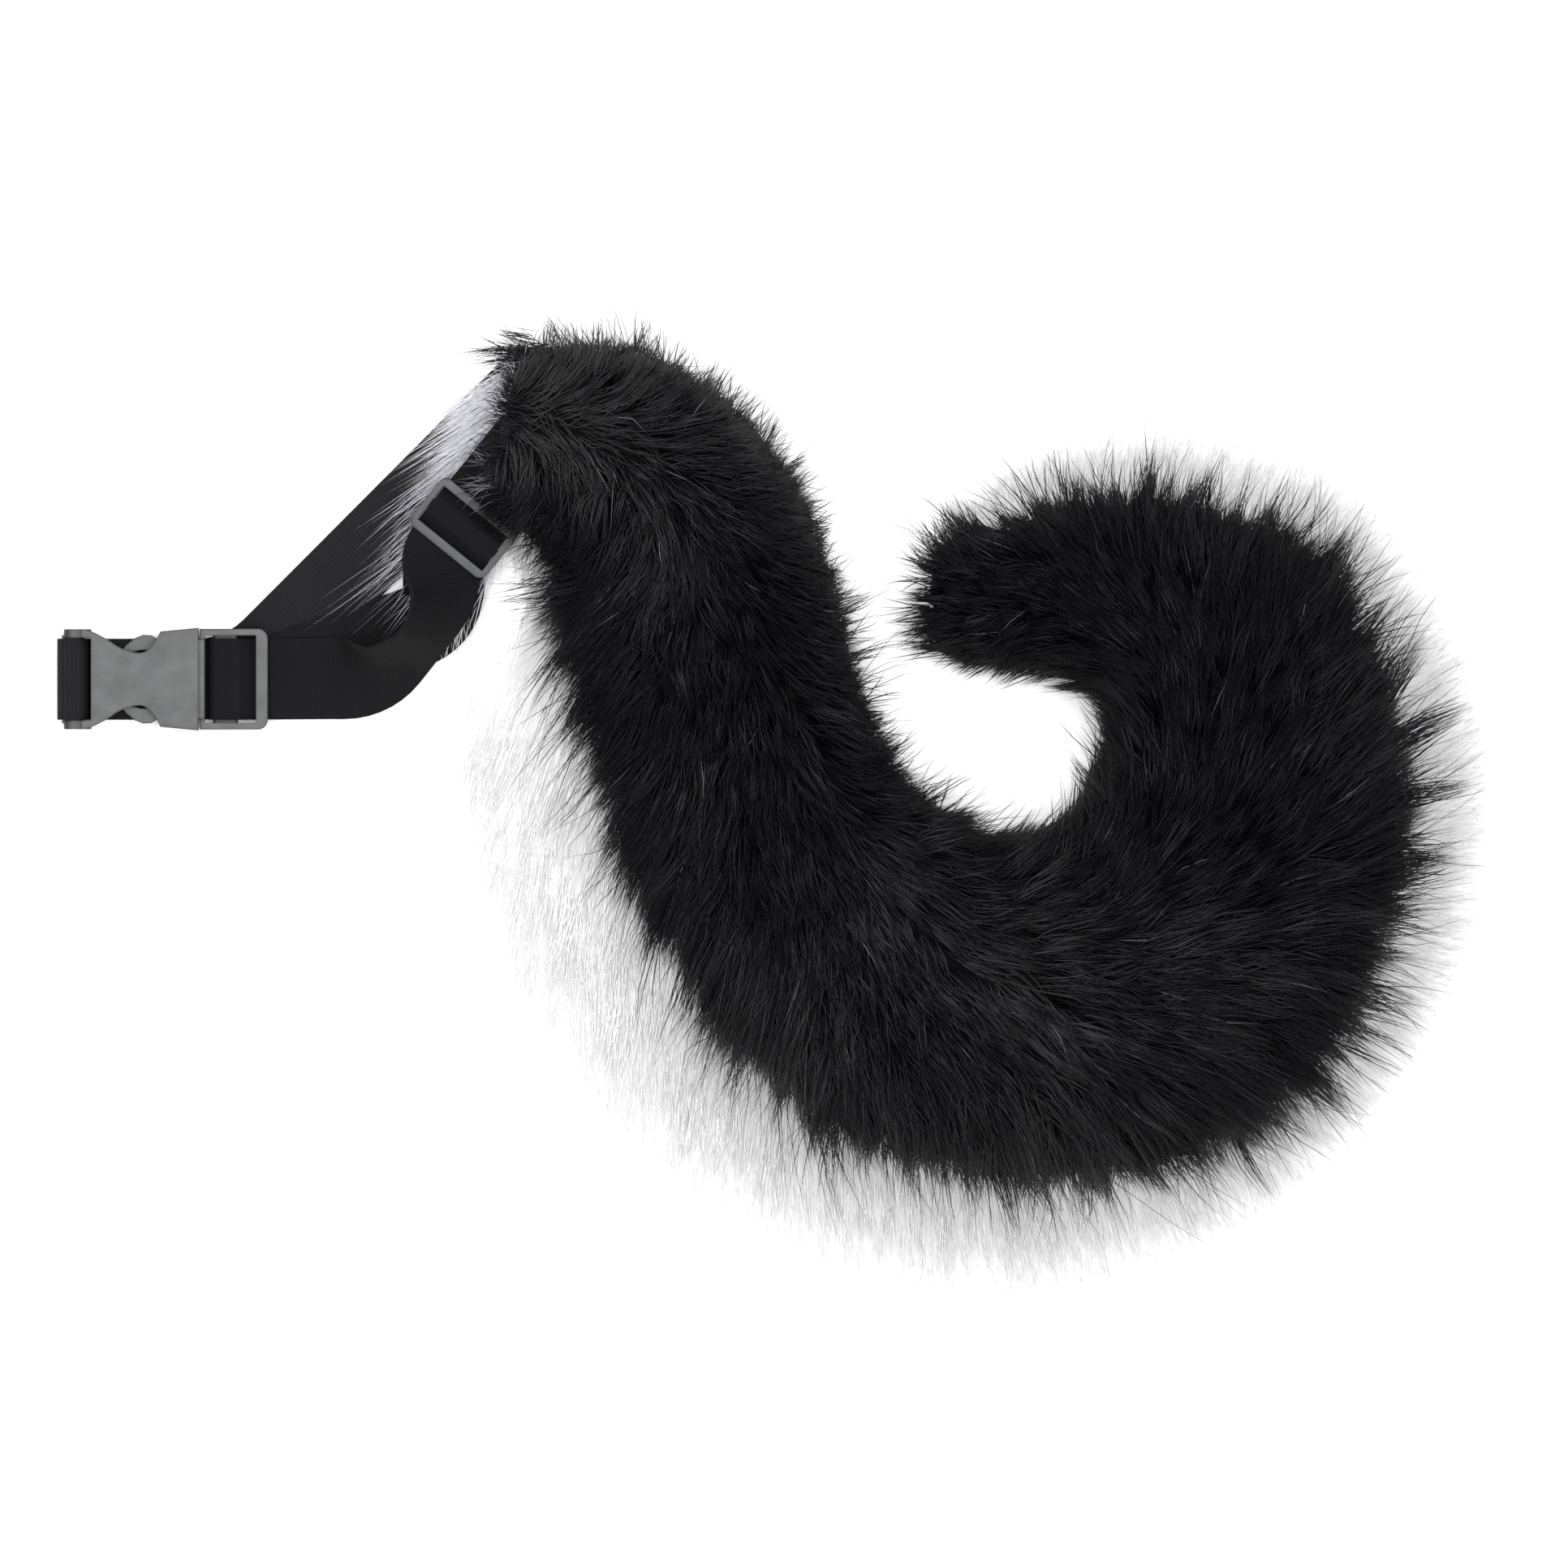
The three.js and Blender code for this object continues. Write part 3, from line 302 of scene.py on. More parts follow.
@dataclass(frozen=True)
class ApronFinish:
    """Soft pale fur that lies flat, in fine streaks, and fades at its outer edge.

    Its UV map holds the share of the way out, and the length along the tail of the streak's root.
    """

    name: str
    low: Triple
    high: Triple
    edge: Triple

    def build(self) -> bpy.types.Material:
        """Makes the material.

        Returns:
            The material.
        """
        graph = Graph(self.name)
        outwards, along = graph.uv("Skin")
        joined = graph.node("ShaderNodeCombineXYZ")
        graph.link(graph.math("MULTIPLY", outwards, 2.5), joined.inputs["X"])
        graph.link(graph.math("MULTIPLY", along, 700.0), joined.inputs["Y"])
        fine = graph.noise(1.0, 3.0, joined.outputs[0])
        broad = graph.noise(0.16, 2.0, joined.outputs[0])
        tone = graph.math("ADD", graph.math("MULTIPLY", fine, 0.45), graph.math("MULTIPLY", broad, 0.55))
        streaks = graph.ramp(tone, ((0.36, self.low), (0.62, self.high)))
        out = graph.ramp(outwards, ((0.66, BLACK), (0.97, WHITE)))
        graph.link(graph.mix(out, streaks, self.edge), graph.shader.inputs["Base Color"])
        graph.bump(fine, 0.25 * MM)
        graph.set(Roughness=0.95, Specular_IOR_Level=0.04)
        return graph.material


@dataclass(frozen=True)
class WebbingFinish:
    """Flat woven webbing: fine ribs across, warp ends along, and a little fuzz."""

    name: str
    low: Triple
    high: Triple
    width: float
    rib: float
    ends: int

    def build(self) -> bpy.types.Material:
        """Makes the material. Its UV map holds the way across and along, both in metres.

        Returns:
            The material.
        """
        graph = Graph(self.name)
        aside, ahead = graph.uv("Webbing")
        across = graph.math("MULTIPLY", aside, 2.0 * math.pi * self.ends / self.width)
        along = graph.math("MULTIPLY", ahead, 2.0 * math.pi / self.rib)
        warp = graph.math("SINE", across)
        weft = graph.math("SINE", graph.math("ADD", along, graph.math("MULTIPLY", warp, 1.4)))
        weave = graph.math("MULTIPLY_ADD", weft, 0.5, 0.5)
        thread = graph.math("MULTIPLY_ADD", warp, 0.25, 0.5)
        height = graph.math("ADD", graph.math("MULTIPLY", weave, 0.7), graph.math("MULTIPLY", thread, 0.3))
        fuzz = graph.noise(2600.0, 3.0)
        wear = graph.noise(45.0, 4.0)
        tone = graph.math("ADD", graph.math("MULTIPLY", height, 0.45), graph.math("MULTIPLY", fuzz, 0.35))
        tone = graph.math("ADD", tone, graph.math("MULTIPLY", wear, 0.35))
        graph.link(graph.ramp(tone, ((0.3, self.low), (0.85, self.high))), graph.shader.inputs["Base Color"])
        relief = graph.math("ADD", height, graph.math("MULTIPLY", fuzz, 0.5))
        graph.bump(relief, 0.16 * MM)
        graph.set(Roughness=0.82, Specular_IOR_Level=0.18)
        return graph.material


@dataclass(frozen=True)
class MouldedFinish:
    """Satin moulded plastic with a fine grain and faint mottling, and painted shade on its sloping edges."""

    name: str
    low: Triple
    high: Triple
    roughness: float
    grain: float = 0.09 * MM
    # colour of the sloping edges as a share of the low tone: painted shade
    edge: float = 0.3
    rounding: float = 1.1 * MM

    def build(self) -> bpy.types.Material:
        """Makes the material.

        Returns:
            The material.
        """
        graph = Graph(self.name)
        grain = graph.noise(1500.0, 4.0)
        flow = graph.noise(160.0, 5.0)
        tone = graph.math("ADD", graph.math("MULTIPLY", flow, 0.65), graph.math("MULTIPLY", grain, 0.35))
        face = graph.ramp(tone, ((0.34, self.low), (0.66, self.high)))
        # painted shade: where the bevelled normal tilts away from straight up, the colour turns to the darker
        # edge colour
        normal = graph.node("ShaderNodeSeparateXYZ")
        rounded = graph.node("ShaderNodeBevel", samples=6)
        rounded.inputs["Radius"].default_value = self.rounding
        graph.link(rounded.outputs["Normal"], normal.inputs[0])
        flat = graph.ramp(normal.outputs["Z"], ((0.74, BLACK), (0.98, WHITE)))
        side = tuple(value * self.edge for value in self.low)
        graph.link(graph.mix(flat, side, face), graph.shader.inputs["Base Color"])
        rough = graph.math("MULTIPLY_ADD", grain, 0.16, self.roughness - 0.08)
        graph.link(rough, graph.shader.inputs["Roughness"])
        graph.bump(grain, self.grain)
        graph.set(Specular_IOR_Level=0.35)
        return graph.material


# Form of the tail


@dataclass(frozen=True)
class TailForm:
    """The curl's middle line and the sections of its pile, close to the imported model's.

    Lengths run along the middle line from the root. Across is positive on the left, the inner side of
    the curl. Angles round the section are 0 at the right, 90 on top and 180 at the left.
    """

    root: tuple[float, float]
    length: float = 532 * MM
    heading: float = -12.0
    reach: float = 62 * MM
    height: float = 78 * MM
    skirt: float = 48 * MM
    seam: float = 32 * MM
    outer_body: float = 0.7
    inner_body: float = 0.86
    body_top: float = 0.84
    root_round: float = 6 * MM
    tip_round: float = 14 * MM
    end: float = 0.986
    seam_inner: float = 0.36
    # share of the length, and turn to the left in degrees
    bends: tuple[tuple[float, float], ...] = (
        (0.13, -58.0), (0.06, -7.0), (0.18, 26.0), (0.42, 173.0), (0.14, 72.0), (0.07, -36.0),
    )
    # at, left, right, top, skirt, seam
    sections: tuple[tuple[float, ...], ...] = (
        (0.0, 0.36, 0.56, 0.54, 0.08, 0.47),
        (0.04, 0.62, 0.68, 0.66, 0.12, 0.47),
        (0.09, 0.72, 0.7, 0.72, 0.18, 0.52),
        (0.13, 0.76, 0.74, 0.75, 0.28, 0.64),
        (0.17, 0.78, 0.78, 0.77, 0.76, 0.8),
        (0.23, 0.76, 0.8, 0.8, 0.9, 0.94),
        (0.3, 0.76, 0.86, 0.86, 0.96, 1.0),
        (0.37, 0.92, 0.93, 0.94, 0.86, 1.0),
        (0.45, 1.03, 0.92, 1.0, 0.78, 1.0),
        (0.53, 1.04, 0.92, 1.0, 0.58, 1.0),
        (0.6, 1.02, 0.94, 0.98, 0.4, 1.0),
        (0.66, 0.99, 0.88, 0.94, 0.42, 1.0),
        (0.72, 0.94, 0.83, 0.88, 0.42, 0.98),
        (0.77, 0.85, 0.79, 0.82, 0.42, 0.94),
        (0.82, 0.68, 0.71, 0.72, 0.44, 0.86),
        (0.88, 0.6, 0.46, 0.62, 0.4, 0.74),
        (0.94, 0.49, 0.32, 0.5, 0.26, 0.6),
        (1.0, 0.4, 0.26, 0.36, 0.14, 0.42),
    )
    # share of the length, and lean of the white hair towards the tip in degrees
    leans: tuple[tuple[float, float], ...] = (
        (0.0, 10), (0.08, 40), (0.13, 58), (0.2, 62), (0.3, 58), (0.37, 45), (0.45, 22), (0.53, 2),
        (0.6, 0), (0.66, 12), (0.72, 24), (0.8, 14), (0.88, 0), (0.94, 8), (1.0, 40),
    )

    def path(self, length: Array) -> tuple[Array, Array, Array]:
        """Points and headings of the middle line.

        Args:
            length: Lengths along it, which may lie before the root or past the tip.

        Returns:
            x, y and heading at each length.
        """
        length = np.asarray(length, float)
        x = np.full(length.shape, self.root[0])
        y = np.full(length.shape, self.root[1])
        heading = np.full(length.shape, math.radians(self.heading))
        left = length.copy()
        for share, turn in self.bends:
            whole = share * self.length
            run = np.clip(left, 0.0, whole)
            turned = math.radians(turn) * run / whole
            half = np.where(np.abs(turned) < 1e-6, 1e-6, turned / 2)
            chord = run * np.sin(half) / half
            x += chord * np.cos(heading + turned / 2)
            y += chord * np.sin(heading + turned / 2)
            heading += turned
            left = np.where(length > 0, left - run, left)
        x += left * np.cos(heading)
        y += left * np.sin(heading)
        return x, y, heading

    def beside(self, length: Array, across: Array, height: Array) -> Array:
        """Points beside the middle line.

        Args:
            length: Lengths along it.
            across: Distances to its left.
            height: Heights above the floor.

        Returns:
            One row of x, y and z for each.
        """
        x, y, heading = self.path(length)
        return np.stack((x - across * np.sin(heading), y + across * np.cos(heading), height + 0.0 * x), -1)

    def sizes(self, length: Array) -> dict[str, Array]:
        """Sizes of the section at each length.

        Args:
            length: Lengths along the middle line.

        Returns:
            left, right, top, skirt and seam.
        """
        rows = np.array(self.sections)
        at = np.clip(np.asarray(length) / self.length, 0, 1)
        names = ("left", "right", "top", "skirt", "seam")
        wholes = (self.reach, self.reach, self.height, self.skirt, self.seam)
        made = {}
        for column, (name, whole) in enumerate(zip(names, wholes), 1):
            made[name] = np.interp(at, rows[:, 0], rows[:, column]) * whole
        return made

    def apron(self, length: Array, share: Array) -> tuple[Array, Array]:
        """The pale fur's slope from the stuffed body down to the floor on the outer side.

        Args:
            length: Lengths along the middle line.
            share: 0 at the body and 1 at the apron's edge.

        Returns:
            Distances from the middle line and heights.
        """
        size = self.sizes(length)
        left = 1 - np.clip(share, 0, 1)
        away = size["right"] * self.outer_body + self.apron_width(length) * share
        return away, size["seam"] * (0.9 * left**2.2 + 0.05 * left)

    def apron_width(self, length: Array) -> Array:
        """Width of the pale apron at each length."""
        size = self.sizes(length)
        return size["right"] * (1 - self.outer_body) * 0.7 + size["skirt"] * 0.92

    def lean(self, length: Array) -> Array:
        """Lean of the white hair towards the tip at each length, in radians."""
        table = np.array(self.leans)
        return np.radians(np.interp(np.asarray(length) / self.length, table[:, 0], table[:, 1]))

    def rounding(self, length: Array) -> Array:
        """Share of the full section that is left in the rounded ends."""
        tip = self.end * self.length - self.tip_round
        past = np.maximum(-length / self.root_round, (length - tip) / self.tip_round)
        return np.sqrt(np.maximum(1 - np.clip(past, 0, 1) ** 2, 0.0025))

    def pile(self, length: Array, angle: Array, out: Array) -> Array:
        """Points of the pile.

        Args:
            length: Lengths along the middle line.
            angle: Angles round the section, in degrees.
            out: 0 on the stuffed body and 1 at the ends of the pile.

        Returns:
            One row of x, y and z for each.
        """
        size = self.sizes(length)
        inner = np.asarray(angle) > 90
        side = np.where(inner, size["left"], -size["right"])
        body = np.where(inner, self.inner_body, self.outer_body)
        round_off = self.rounding(length)
        share = (body + (1 - body) * out) * round_off
        foot = np.where(inner, size["seam"] * self.seam_inner, size["seam"])
        high = (self.body_top + (1 - self.body_top) * out) * size["top"] * (0.5 + 0.5 * round_off)
        c = np.abs(np.cos(np.radians(angle)))
        s = np.sin(np.radians(angle))
        return self.beside(length, side * share * c, foot + (high - foot) * s)


# Mesh helpers


def deselect() -> None:
    """Deselects every object."""
    for other in bpy.context.selected_objects:
        other.select_set(False)


def activate(piece: Piece) -> None:
    """Makes one object the active and only selected one."""
    deselect()
    bpy.context.view_layer.objects.active = piece
    piece.select_set(True)


def edit(piece: Piece, work: Callable[[], None]) -> None:
    """Runs operators on all of one piece in edit mode.

    Args:
        piece: The piece.
        work: Calls the operators.
    """
    activate(piece)
    bpy.ops.object.mode_set(mode="EDIT")
    bpy.ops.mesh.select_all(action="SELECT")
    work()
    bpy.ops.object.mode_set(mode="OBJECT")


def modify(piece: Piece, kind: str, **settings: object) -> None:
    """Adds a modifier and applies it.

    Args:
        piece: The piece.
        kind: The modifier's type.
        settings: Its properties.
    """
    activate(piece)
    added = piece.modifiers.new(kind.title(), kind)
    for key, value in settings.items():
        setattr(added, key, value)
    bpy.ops.object.modifier_apply(modifier=added.name)


def set_points(piece: Piece, points: Array) -> None:
    """Moves every vertex of a piece to its own point."""
    piece.data.vertices.foreach_set("co", np.ascontiguousarray(points, np.float32).ravel())
    piece.data.update()


def get_points(piece: Piece) -> Array:
    """Returns the vertices of a piece, one row each."""
    points = np.empty(len(piece.data.vertices) * 3, np.float32)
    piece.data.vertices.foreach_get("co", points)
    return points.reshape(-1, 3).astype(float)


def give_uv(piece: Piece, name: str, values: Array) -> None:
    """Names a piece's UV map and fills it.

    Args:
        piece: The piece.
        name: The map's name.
        values: Two numbers for each vertex.
    """
    layer = piece.data.uv_layers.active
    layer.name = name
    loops = np.empty(len(piece.data.loops), np.int32)
    piece.data.loops.foreach_get("vertex_index", loops)
    layer.data.foreach_set("uv", values[loops].astype(np.float32).ravel())


def smooth(piece: Piece, degrees: float) -> None:
    """Turns a piece's faces outwards and smooths its blunt edges.

    Args:
        piece: The piece.
        degrees: Sharper edges than this stay hard.
    """
    edit(piece, lambda: bpy.ops.mesh.normals_make_consistent(inside=False))
    activate(piece)
    bpy.ops.object.shade_smooth_by_angle(angle=math.radians(degrees))


def finish_piece(piece: Piece, name: str, material: bpy.types.Material, slot: Slot, *nodes: str) -> None:
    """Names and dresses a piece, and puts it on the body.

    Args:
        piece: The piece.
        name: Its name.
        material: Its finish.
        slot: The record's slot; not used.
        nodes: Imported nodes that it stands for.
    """
    piece.name = name
    piece.data.name = name
    piece.data.materials.clear()
    piece.data.materials.append(material)
    if nodes:
        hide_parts(*nodes)
    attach(piece, BODY)
    LOG.info("%s: %d faces", name, len(piece.data.polygons))


# Stuffed body


@dataclass
class StuffedBody:
    """The two padded skins under the fur: the dark upper one and the pale lower one."""

    form: TailForm
    segments: int = 44
    rings: int = 130
    seam_turn: float = 0.7
    gap: float = 0.3 * MM
    foot: float = 0.82
    brim: float = 0.44
    hem: float = 0.8

    def _wrapped(self, place: Callable[[Array, Array], Array]) -> Piece:
        """Wraps a sphere's skin over the tail.

        Args:
            place: Gives the point for each share of the length and turn round the section.

        Returns:
            The closed skin.
        """
        deselect()
        bpy.ops.mesh.primitive_uv_sphere_add(segments=self.segments, ring_count=self.rings, radius=1.0)
        piece = bpy.context.object
        points = get_points(piece)
        share = 1 - np.arccos(np.clip(points[:, 2], -1, 1)) / math.pi
        turn = np.arctan2(points[:, 1], points[:, 0]) / (2 * math.pi) % 1.0
        length = -self.form.root_round + share * (self.form.end * self.form.length + self.form.root_round)
        set_points(piece, place(length, turn))
        share = np.clip((turn - self.brim) / (self.hem - self.brim), 0, 1)
        skew = np.tan(self.form.lean(length)) * self.form.apron_width(length) * share
        give_uv(piece, "Skin", np.stack((share, length - skew), 1))
        smooth(piece, 65)
        return piece

    def dark_place(self, length: Array, turn: Array) -> Array:
        """Points of the dark skin: over the top, then back along the seam.

        Args:
            length: Lengths along the tail.
            turn: Turns round the section, from 0 to 1.

        Returns:
            The points.
        """
        over = turn < self.seam_turn
        angle = np.clip(turn / self.seam_turn, 0, 1) * 180
        top = self.form.pile(length, angle, np.zeros_like(length))
        back = (turn - self.seam_turn) / (1 - self.seam_turn)
        left = self.form.pile(length, np.full_like(length, 180.0), np.zeros_like(length))
        right = self.form.pile(length, np.zeros_like(length), np.zeros_like(length))
        under = left + (right - left) * back[:, None]
        under[:, 2] += self.gap
        top[:, 2] += self.gap
        return np.where(over[:, None], top, under)

    def pale_place(self, length: Array, turn: Array) -> Array:
        """Points of the pale skin: flat on the floor, up its two sides and along the seam.

        Args:
            length: Lengths along the tail.
            turn: Turns round the section, from 0 to 1.

        Returns:
            The points.
        """
        size = self.form.sizes(length)
        share = self.form.rounding(length)
        inner = size["left"] * self.form.inner_body * share
        low = size["seam"] * self.form.seam_inner
        body, seam = self.form.apron(length, np.zeros_like(length))
        edge, _ = self.form.apron(length, np.ones_like(length))
        corners_across = np.stack((inner * self.foot, inner, inner, -body * share, inner * self.foot), 0)
        corners_height = np.stack((0 * seam, low * 0.5, low - self.gap, seam - self.gap, 0 * seam), 0)
        marks = np.array((0.0, 0.08, 0.16, self.brim))
        across = np.empty_like(length)
        height = np.empty_like(length)
        for i in range(len(marks) - 1):
            here = (turn >= marks[i]) & (turn <= marks[i + 1])
            part = (turn - marks[i]) / (marks[i + 1] - marks[i])
            across[here] = (corners_across[i] + (corners_across[i + 1] - corners_across[i]) * part)[here]
            height[here] = (corners_height[i] + (corners_height[i + 1] - corners_height[i]) * part)[here]
        out = np.clip((turn - self.brim) / (self.hem - self.brim), 0, 1)
        away, slope = self.form.apron(length, out)
        here = (turn > self.brim) & (turn <= self.hem)
        across[here] = (-away * share)[here]
        height[here] = (slope - self.gap * (1 - out))[here]
        part = (turn - self.hem) / (1 - self.hem)
        here = turn > self.hem
        across[here] = (-edge * share + (inner * self.foot + edge * share) * part)[here]
        height[here] = 0.0
        return self.form.beside(length, across, height)

    def build(self) -> None:
        """Makes both skins."""
        dark = self._wrapped(self.dark_place)
        dark_fur = UnderfurFinish("Underfur black", (0.002, 0.002, 0.0023), (0.0065, 0.0065, 0.0074), 0.03)
        finish_piece(dark, "body_upper", dark_fur.build(), Slot.FUR_BLACK, "tail_fur_black")
        pale = self._wrapped(self.pale_place)
        tones = ((0.52, 0.52, 0.522), (0.59, 0.59, 0.592), (0.76, 0.76, 0.762))
        pale_fur = ApronFinish("Underfur white", *tones)
        finish_piece(pale, "body_lower", pale_fur.build(), Slot.FUR_WHITE, "tail_fur_white")


# Fur


@dataclass
class Hairs:
    """Many hairs, as rows of points from root to tip, with each hair's width and shade."""

    points: Array
    width: Array
    shade: Array

    def join(self, other: "Hairs") -> "Hairs":
        """Returns both lots of hair together, if their rows are alike."""
        return Hairs(
            np.concatenate((self.points, other.points)),
            np.concatenate((self.width, other.width)),
            np.concatenate((self.shade, other.shade)),
        )

    def mesh(self, name: str) -> Piece:
        """Makes the hairs one mesh of closed, tapered, three-sided needles.

        Args:
            name: The mesh's name.

        Returns:
            The new object.
        """
        count, steps, _ = self.points.shape
        way = np.gradient(self.points, axis=1)
        way /= np.linalg.norm(way, axis=2, keepdims=True) + 1e-12
        side = np.cross(way, np.array((0.0, 0.0, 1.0)))
        size = np.linalg.norm(side, axis=2, keepdims=True)
        side = np.where(size < 0.05, np.array((1.0, 0.0, 0.0)), side / (size + 1e-12))
        rise = np.cross(side, way)
        taper = np.array([0.85, 1.0, 0.72, 0.5, 0.4])[:steps]
        if steps == 3:
            taper = np.array([0.9, 0.8, 0.0])
        radius = (self.width[:, None] * 0.5) * taper[None, :]
        rings = []
        for turn in (90.0, 210.0, 330.0):
            a = math.radians(turn)
            offset = side * math.cos(a) + rise * math.sin(a)
            rings.append(self.points + offset * radius[:, :, None])
        body = np.stack(rings, 2)[:, : steps - 1]
        corners = (steps - 1) * 3
        vertices = np.concatenate((body.reshape(count, corners, 3), self.points[:, -1:, :]), 1)
        vertices[:, :, 2] = np.maximum(vertices[:, :, 2], 0.05 * MM)
        faces = [(2, 1, 0)]
        for ring in range(steps - 2):
            for i in range(3):
                a, b = ring * 3 + i, ring * 3 + (i + 1) % 3
                faces.append((a, b, b + 3))
                faces.append((a, b + 3, a + 3))
        last = (steps - 2) * 3
        for i in range(3):
            faces.append((last + i, last + (i + 1) % 3, corners))
        template = np.array(faces)
        index = (template[None] + (np.arange(count) * (corners + 1))[:, None, None]).reshape(-1, 3)
        along = np.concatenate((np.repeat(np.arange(steps - 1) / (steps - 1), 3), [1.0]))
        loops = index.ravel()
        uv = np.empty((len(loops), 2), np.float32)
        uv[:, 0] = self.shade[loops // (corners + 1)]
        uv[:, 1] = along[loops % (corners + 1)]
        data = bpy.data.meshes.new(name)
        data.vertices.add(count * (corners + 1))
        data.vertices.foreach_set("co", vertices.astype(np.float32).ravel())
        data.loops.add(len(loops))
        data.loops.foreach_set("vertex_index", loops.astype(np.int32))
        data.polygons.add(len(index))
        data.polygons.foreach_set("loop_start", np.arange(0, len(loops), 3, dtype=np.int32))
        data.polygons.foreach_set("use_smooth", np.ones(len(index), bool))
        layer = data.uv_layers.new(name="Strand")
        layer.data.foreach_set("uv", uv.ravel())
        data.update(calc_edges=True)
        data.validate()
        piece = bpy.data.objects.new(name, data)
        bpy.context.collection.objects.link(piece)
        return piece


def swept(
    base: Array, way: Array, run: Array, curl: Array, steps: int, up: float = 0.0, down: float = 0.0
) -> Array:
    """Sweeps hairs out from their roots, each with a curl to its side.

    Args:
        base: Where the hairs grow.
        way: Level way of each, in radians.
        run: Length of each.
        curl: How far each tip turns aside.
        steps: Points of each hair.
        up: How steeply they rise at first.
        down: How far they then sink.

    Returns:
        One row of points for each hair.
    """
    rows = []
    for t in np.linspace(0, 1, steps):
        point = base.copy()
        point[:, 0] += np.cos(way) * run * t - np.sin(way) * curl * t * t
        point[:, 1] += np.sin(way) * run * t + np.cos(way) * curl * t * t
        point[:, 2] += up * t - down * t * t
        rows.append(point)
    return np.stack(rows, 1)


def frayed(lines: Array, rng: Random, spread: float | Array, lowest: float | None = None) -> Array:
    """Strays the points of hairs, more towards their tips.

    Args:
        lines: One row of points for each hair.
        rng: Seeded random numbers.
        spread: How far the tips stray.
        lowest: The least height that is left, or None.

    Returns:
        The changed rows.
    """
    share = np.linspace(0, 1, lines.shape[1])[None, :, None]
    lines = lines + rng.normal(0, 1, lines.shape) * spread * share
    if lowest is not None:
        lines[:, :, 2] = np.maximum(lines[:, :, 2], lowest)
    return lines


class Coat(Enum):
    """The layers of fur: points of each hair, least and greatest width, and share of long ones."""

    UNDER = (3, 0.34 * MM, 0.6 * MM, 0.0)
    GUARD = (4, 0.22 * MM, 0.46 * MM, 1.0)


@dataclass(frozen=True)
class Growth:
    """One lot of fur: where it grows on the tail, in which layer and how much."""

    coat: Coat
    strands: int
    lengths: tuple[float, float]
    angles: tuple[float, float]
    seed: int
    lock: int = 13
    strays: float = 0.006
    spike: float = 0.2


@dataclass(frozen=True)
class Flow:
    """How the fur lies from root to tip of the tail.

    Each row: share of the length; reach of the dense fur and of its sparse ends on the outer side, then
    on the inner side, in millimetres from the middle line; lean towards the tail's tip on the outer and
    the inner side, in degrees; the parting, from -1 at the inner to 1 at the outer side; the tone, which
    is painted light and shade: a painted sheen at the root, lighter hair at the bend, darker at the hook.
    """

    rows: tuple[tuple[float, ...], ...] = (
        (-0.02, 12, 18, 14, 23, -15, -25, -0.1, 0.55),
        (0.0, 15, 24, 16, 27, -15, -20, -0.1, 0.55),
        (0.05, 31, 42, 34, 43, -12, -12, -0.15, 0.45),
        (0.1, 44, 56, 33, 42, 12, -8, -0.25, 0.18),
        (0.15, 46, 59, 40, 45, 30, -12, -0.3, 0.0),
        (0.2, 47, 60, 42, 53, 36, -10, -0.35, 0.0),
        (0.25, 48, 60, 40, 50, 38, -8, -0.4, 0.02),
        (0.3, 49, 58, 43, 52, 40, -4, -0.4, 0.07),
        (0.35, 51, 63, 51, 61, 39, 5, -0.45, 0.16),
        (0.4, 51, 64, 63, 72, 32, 20, -0.5, 0.24),
        (0.45, 50, 63, 65, 73, 20, 30, -0.5, 0.27),
        (0.5, 52, 63, 65, 73, 8, 35, -0.5, 0.27),
        (0.55, 53, 65, 64, 73, 2, 40, -0.5, 0.2),
        (0.6, 56, 68, 64, 69, 0, 50, -0.55, 0.12),
        (0.65, 48, 60, 61, 65, 12, 55, -0.6, 0.0),
        (0.7, 46, 61, 57, 63, 24, 62, -0.6, 0.0),
        (0.75, 41, 56, 50, 58, 20, 67, -0.65, 0.0),
        (0.8, 42, 56, 43, 47, 6, 70, -0.7, -0.04),
        (0.85, 31, 43, 40, 43, 0, 70, -0.75, -0.06),
        (0.9, 21, 35, 36, 39, 12, 74, -0.7, -0.06),
        (0.95, 15, 26, 27, 30, 36, 78, -0.4, -0.06),
        (0.985, 11, 19, 21, 25, 58, 78, -0.1, -0.06),
        (1.02, 7, 18, 10, 14, 70, 75, 0.0, -0.06),
    )

    def at(self, share: Array) -> tuple[Array, ...]:
        """Returns every column at shares of the tail's length."""
        table = np.array(self.rows)
        return tuple(np.interp(share, table[:, 0], table[:, i]) for i in range(1, table.shape[1]))


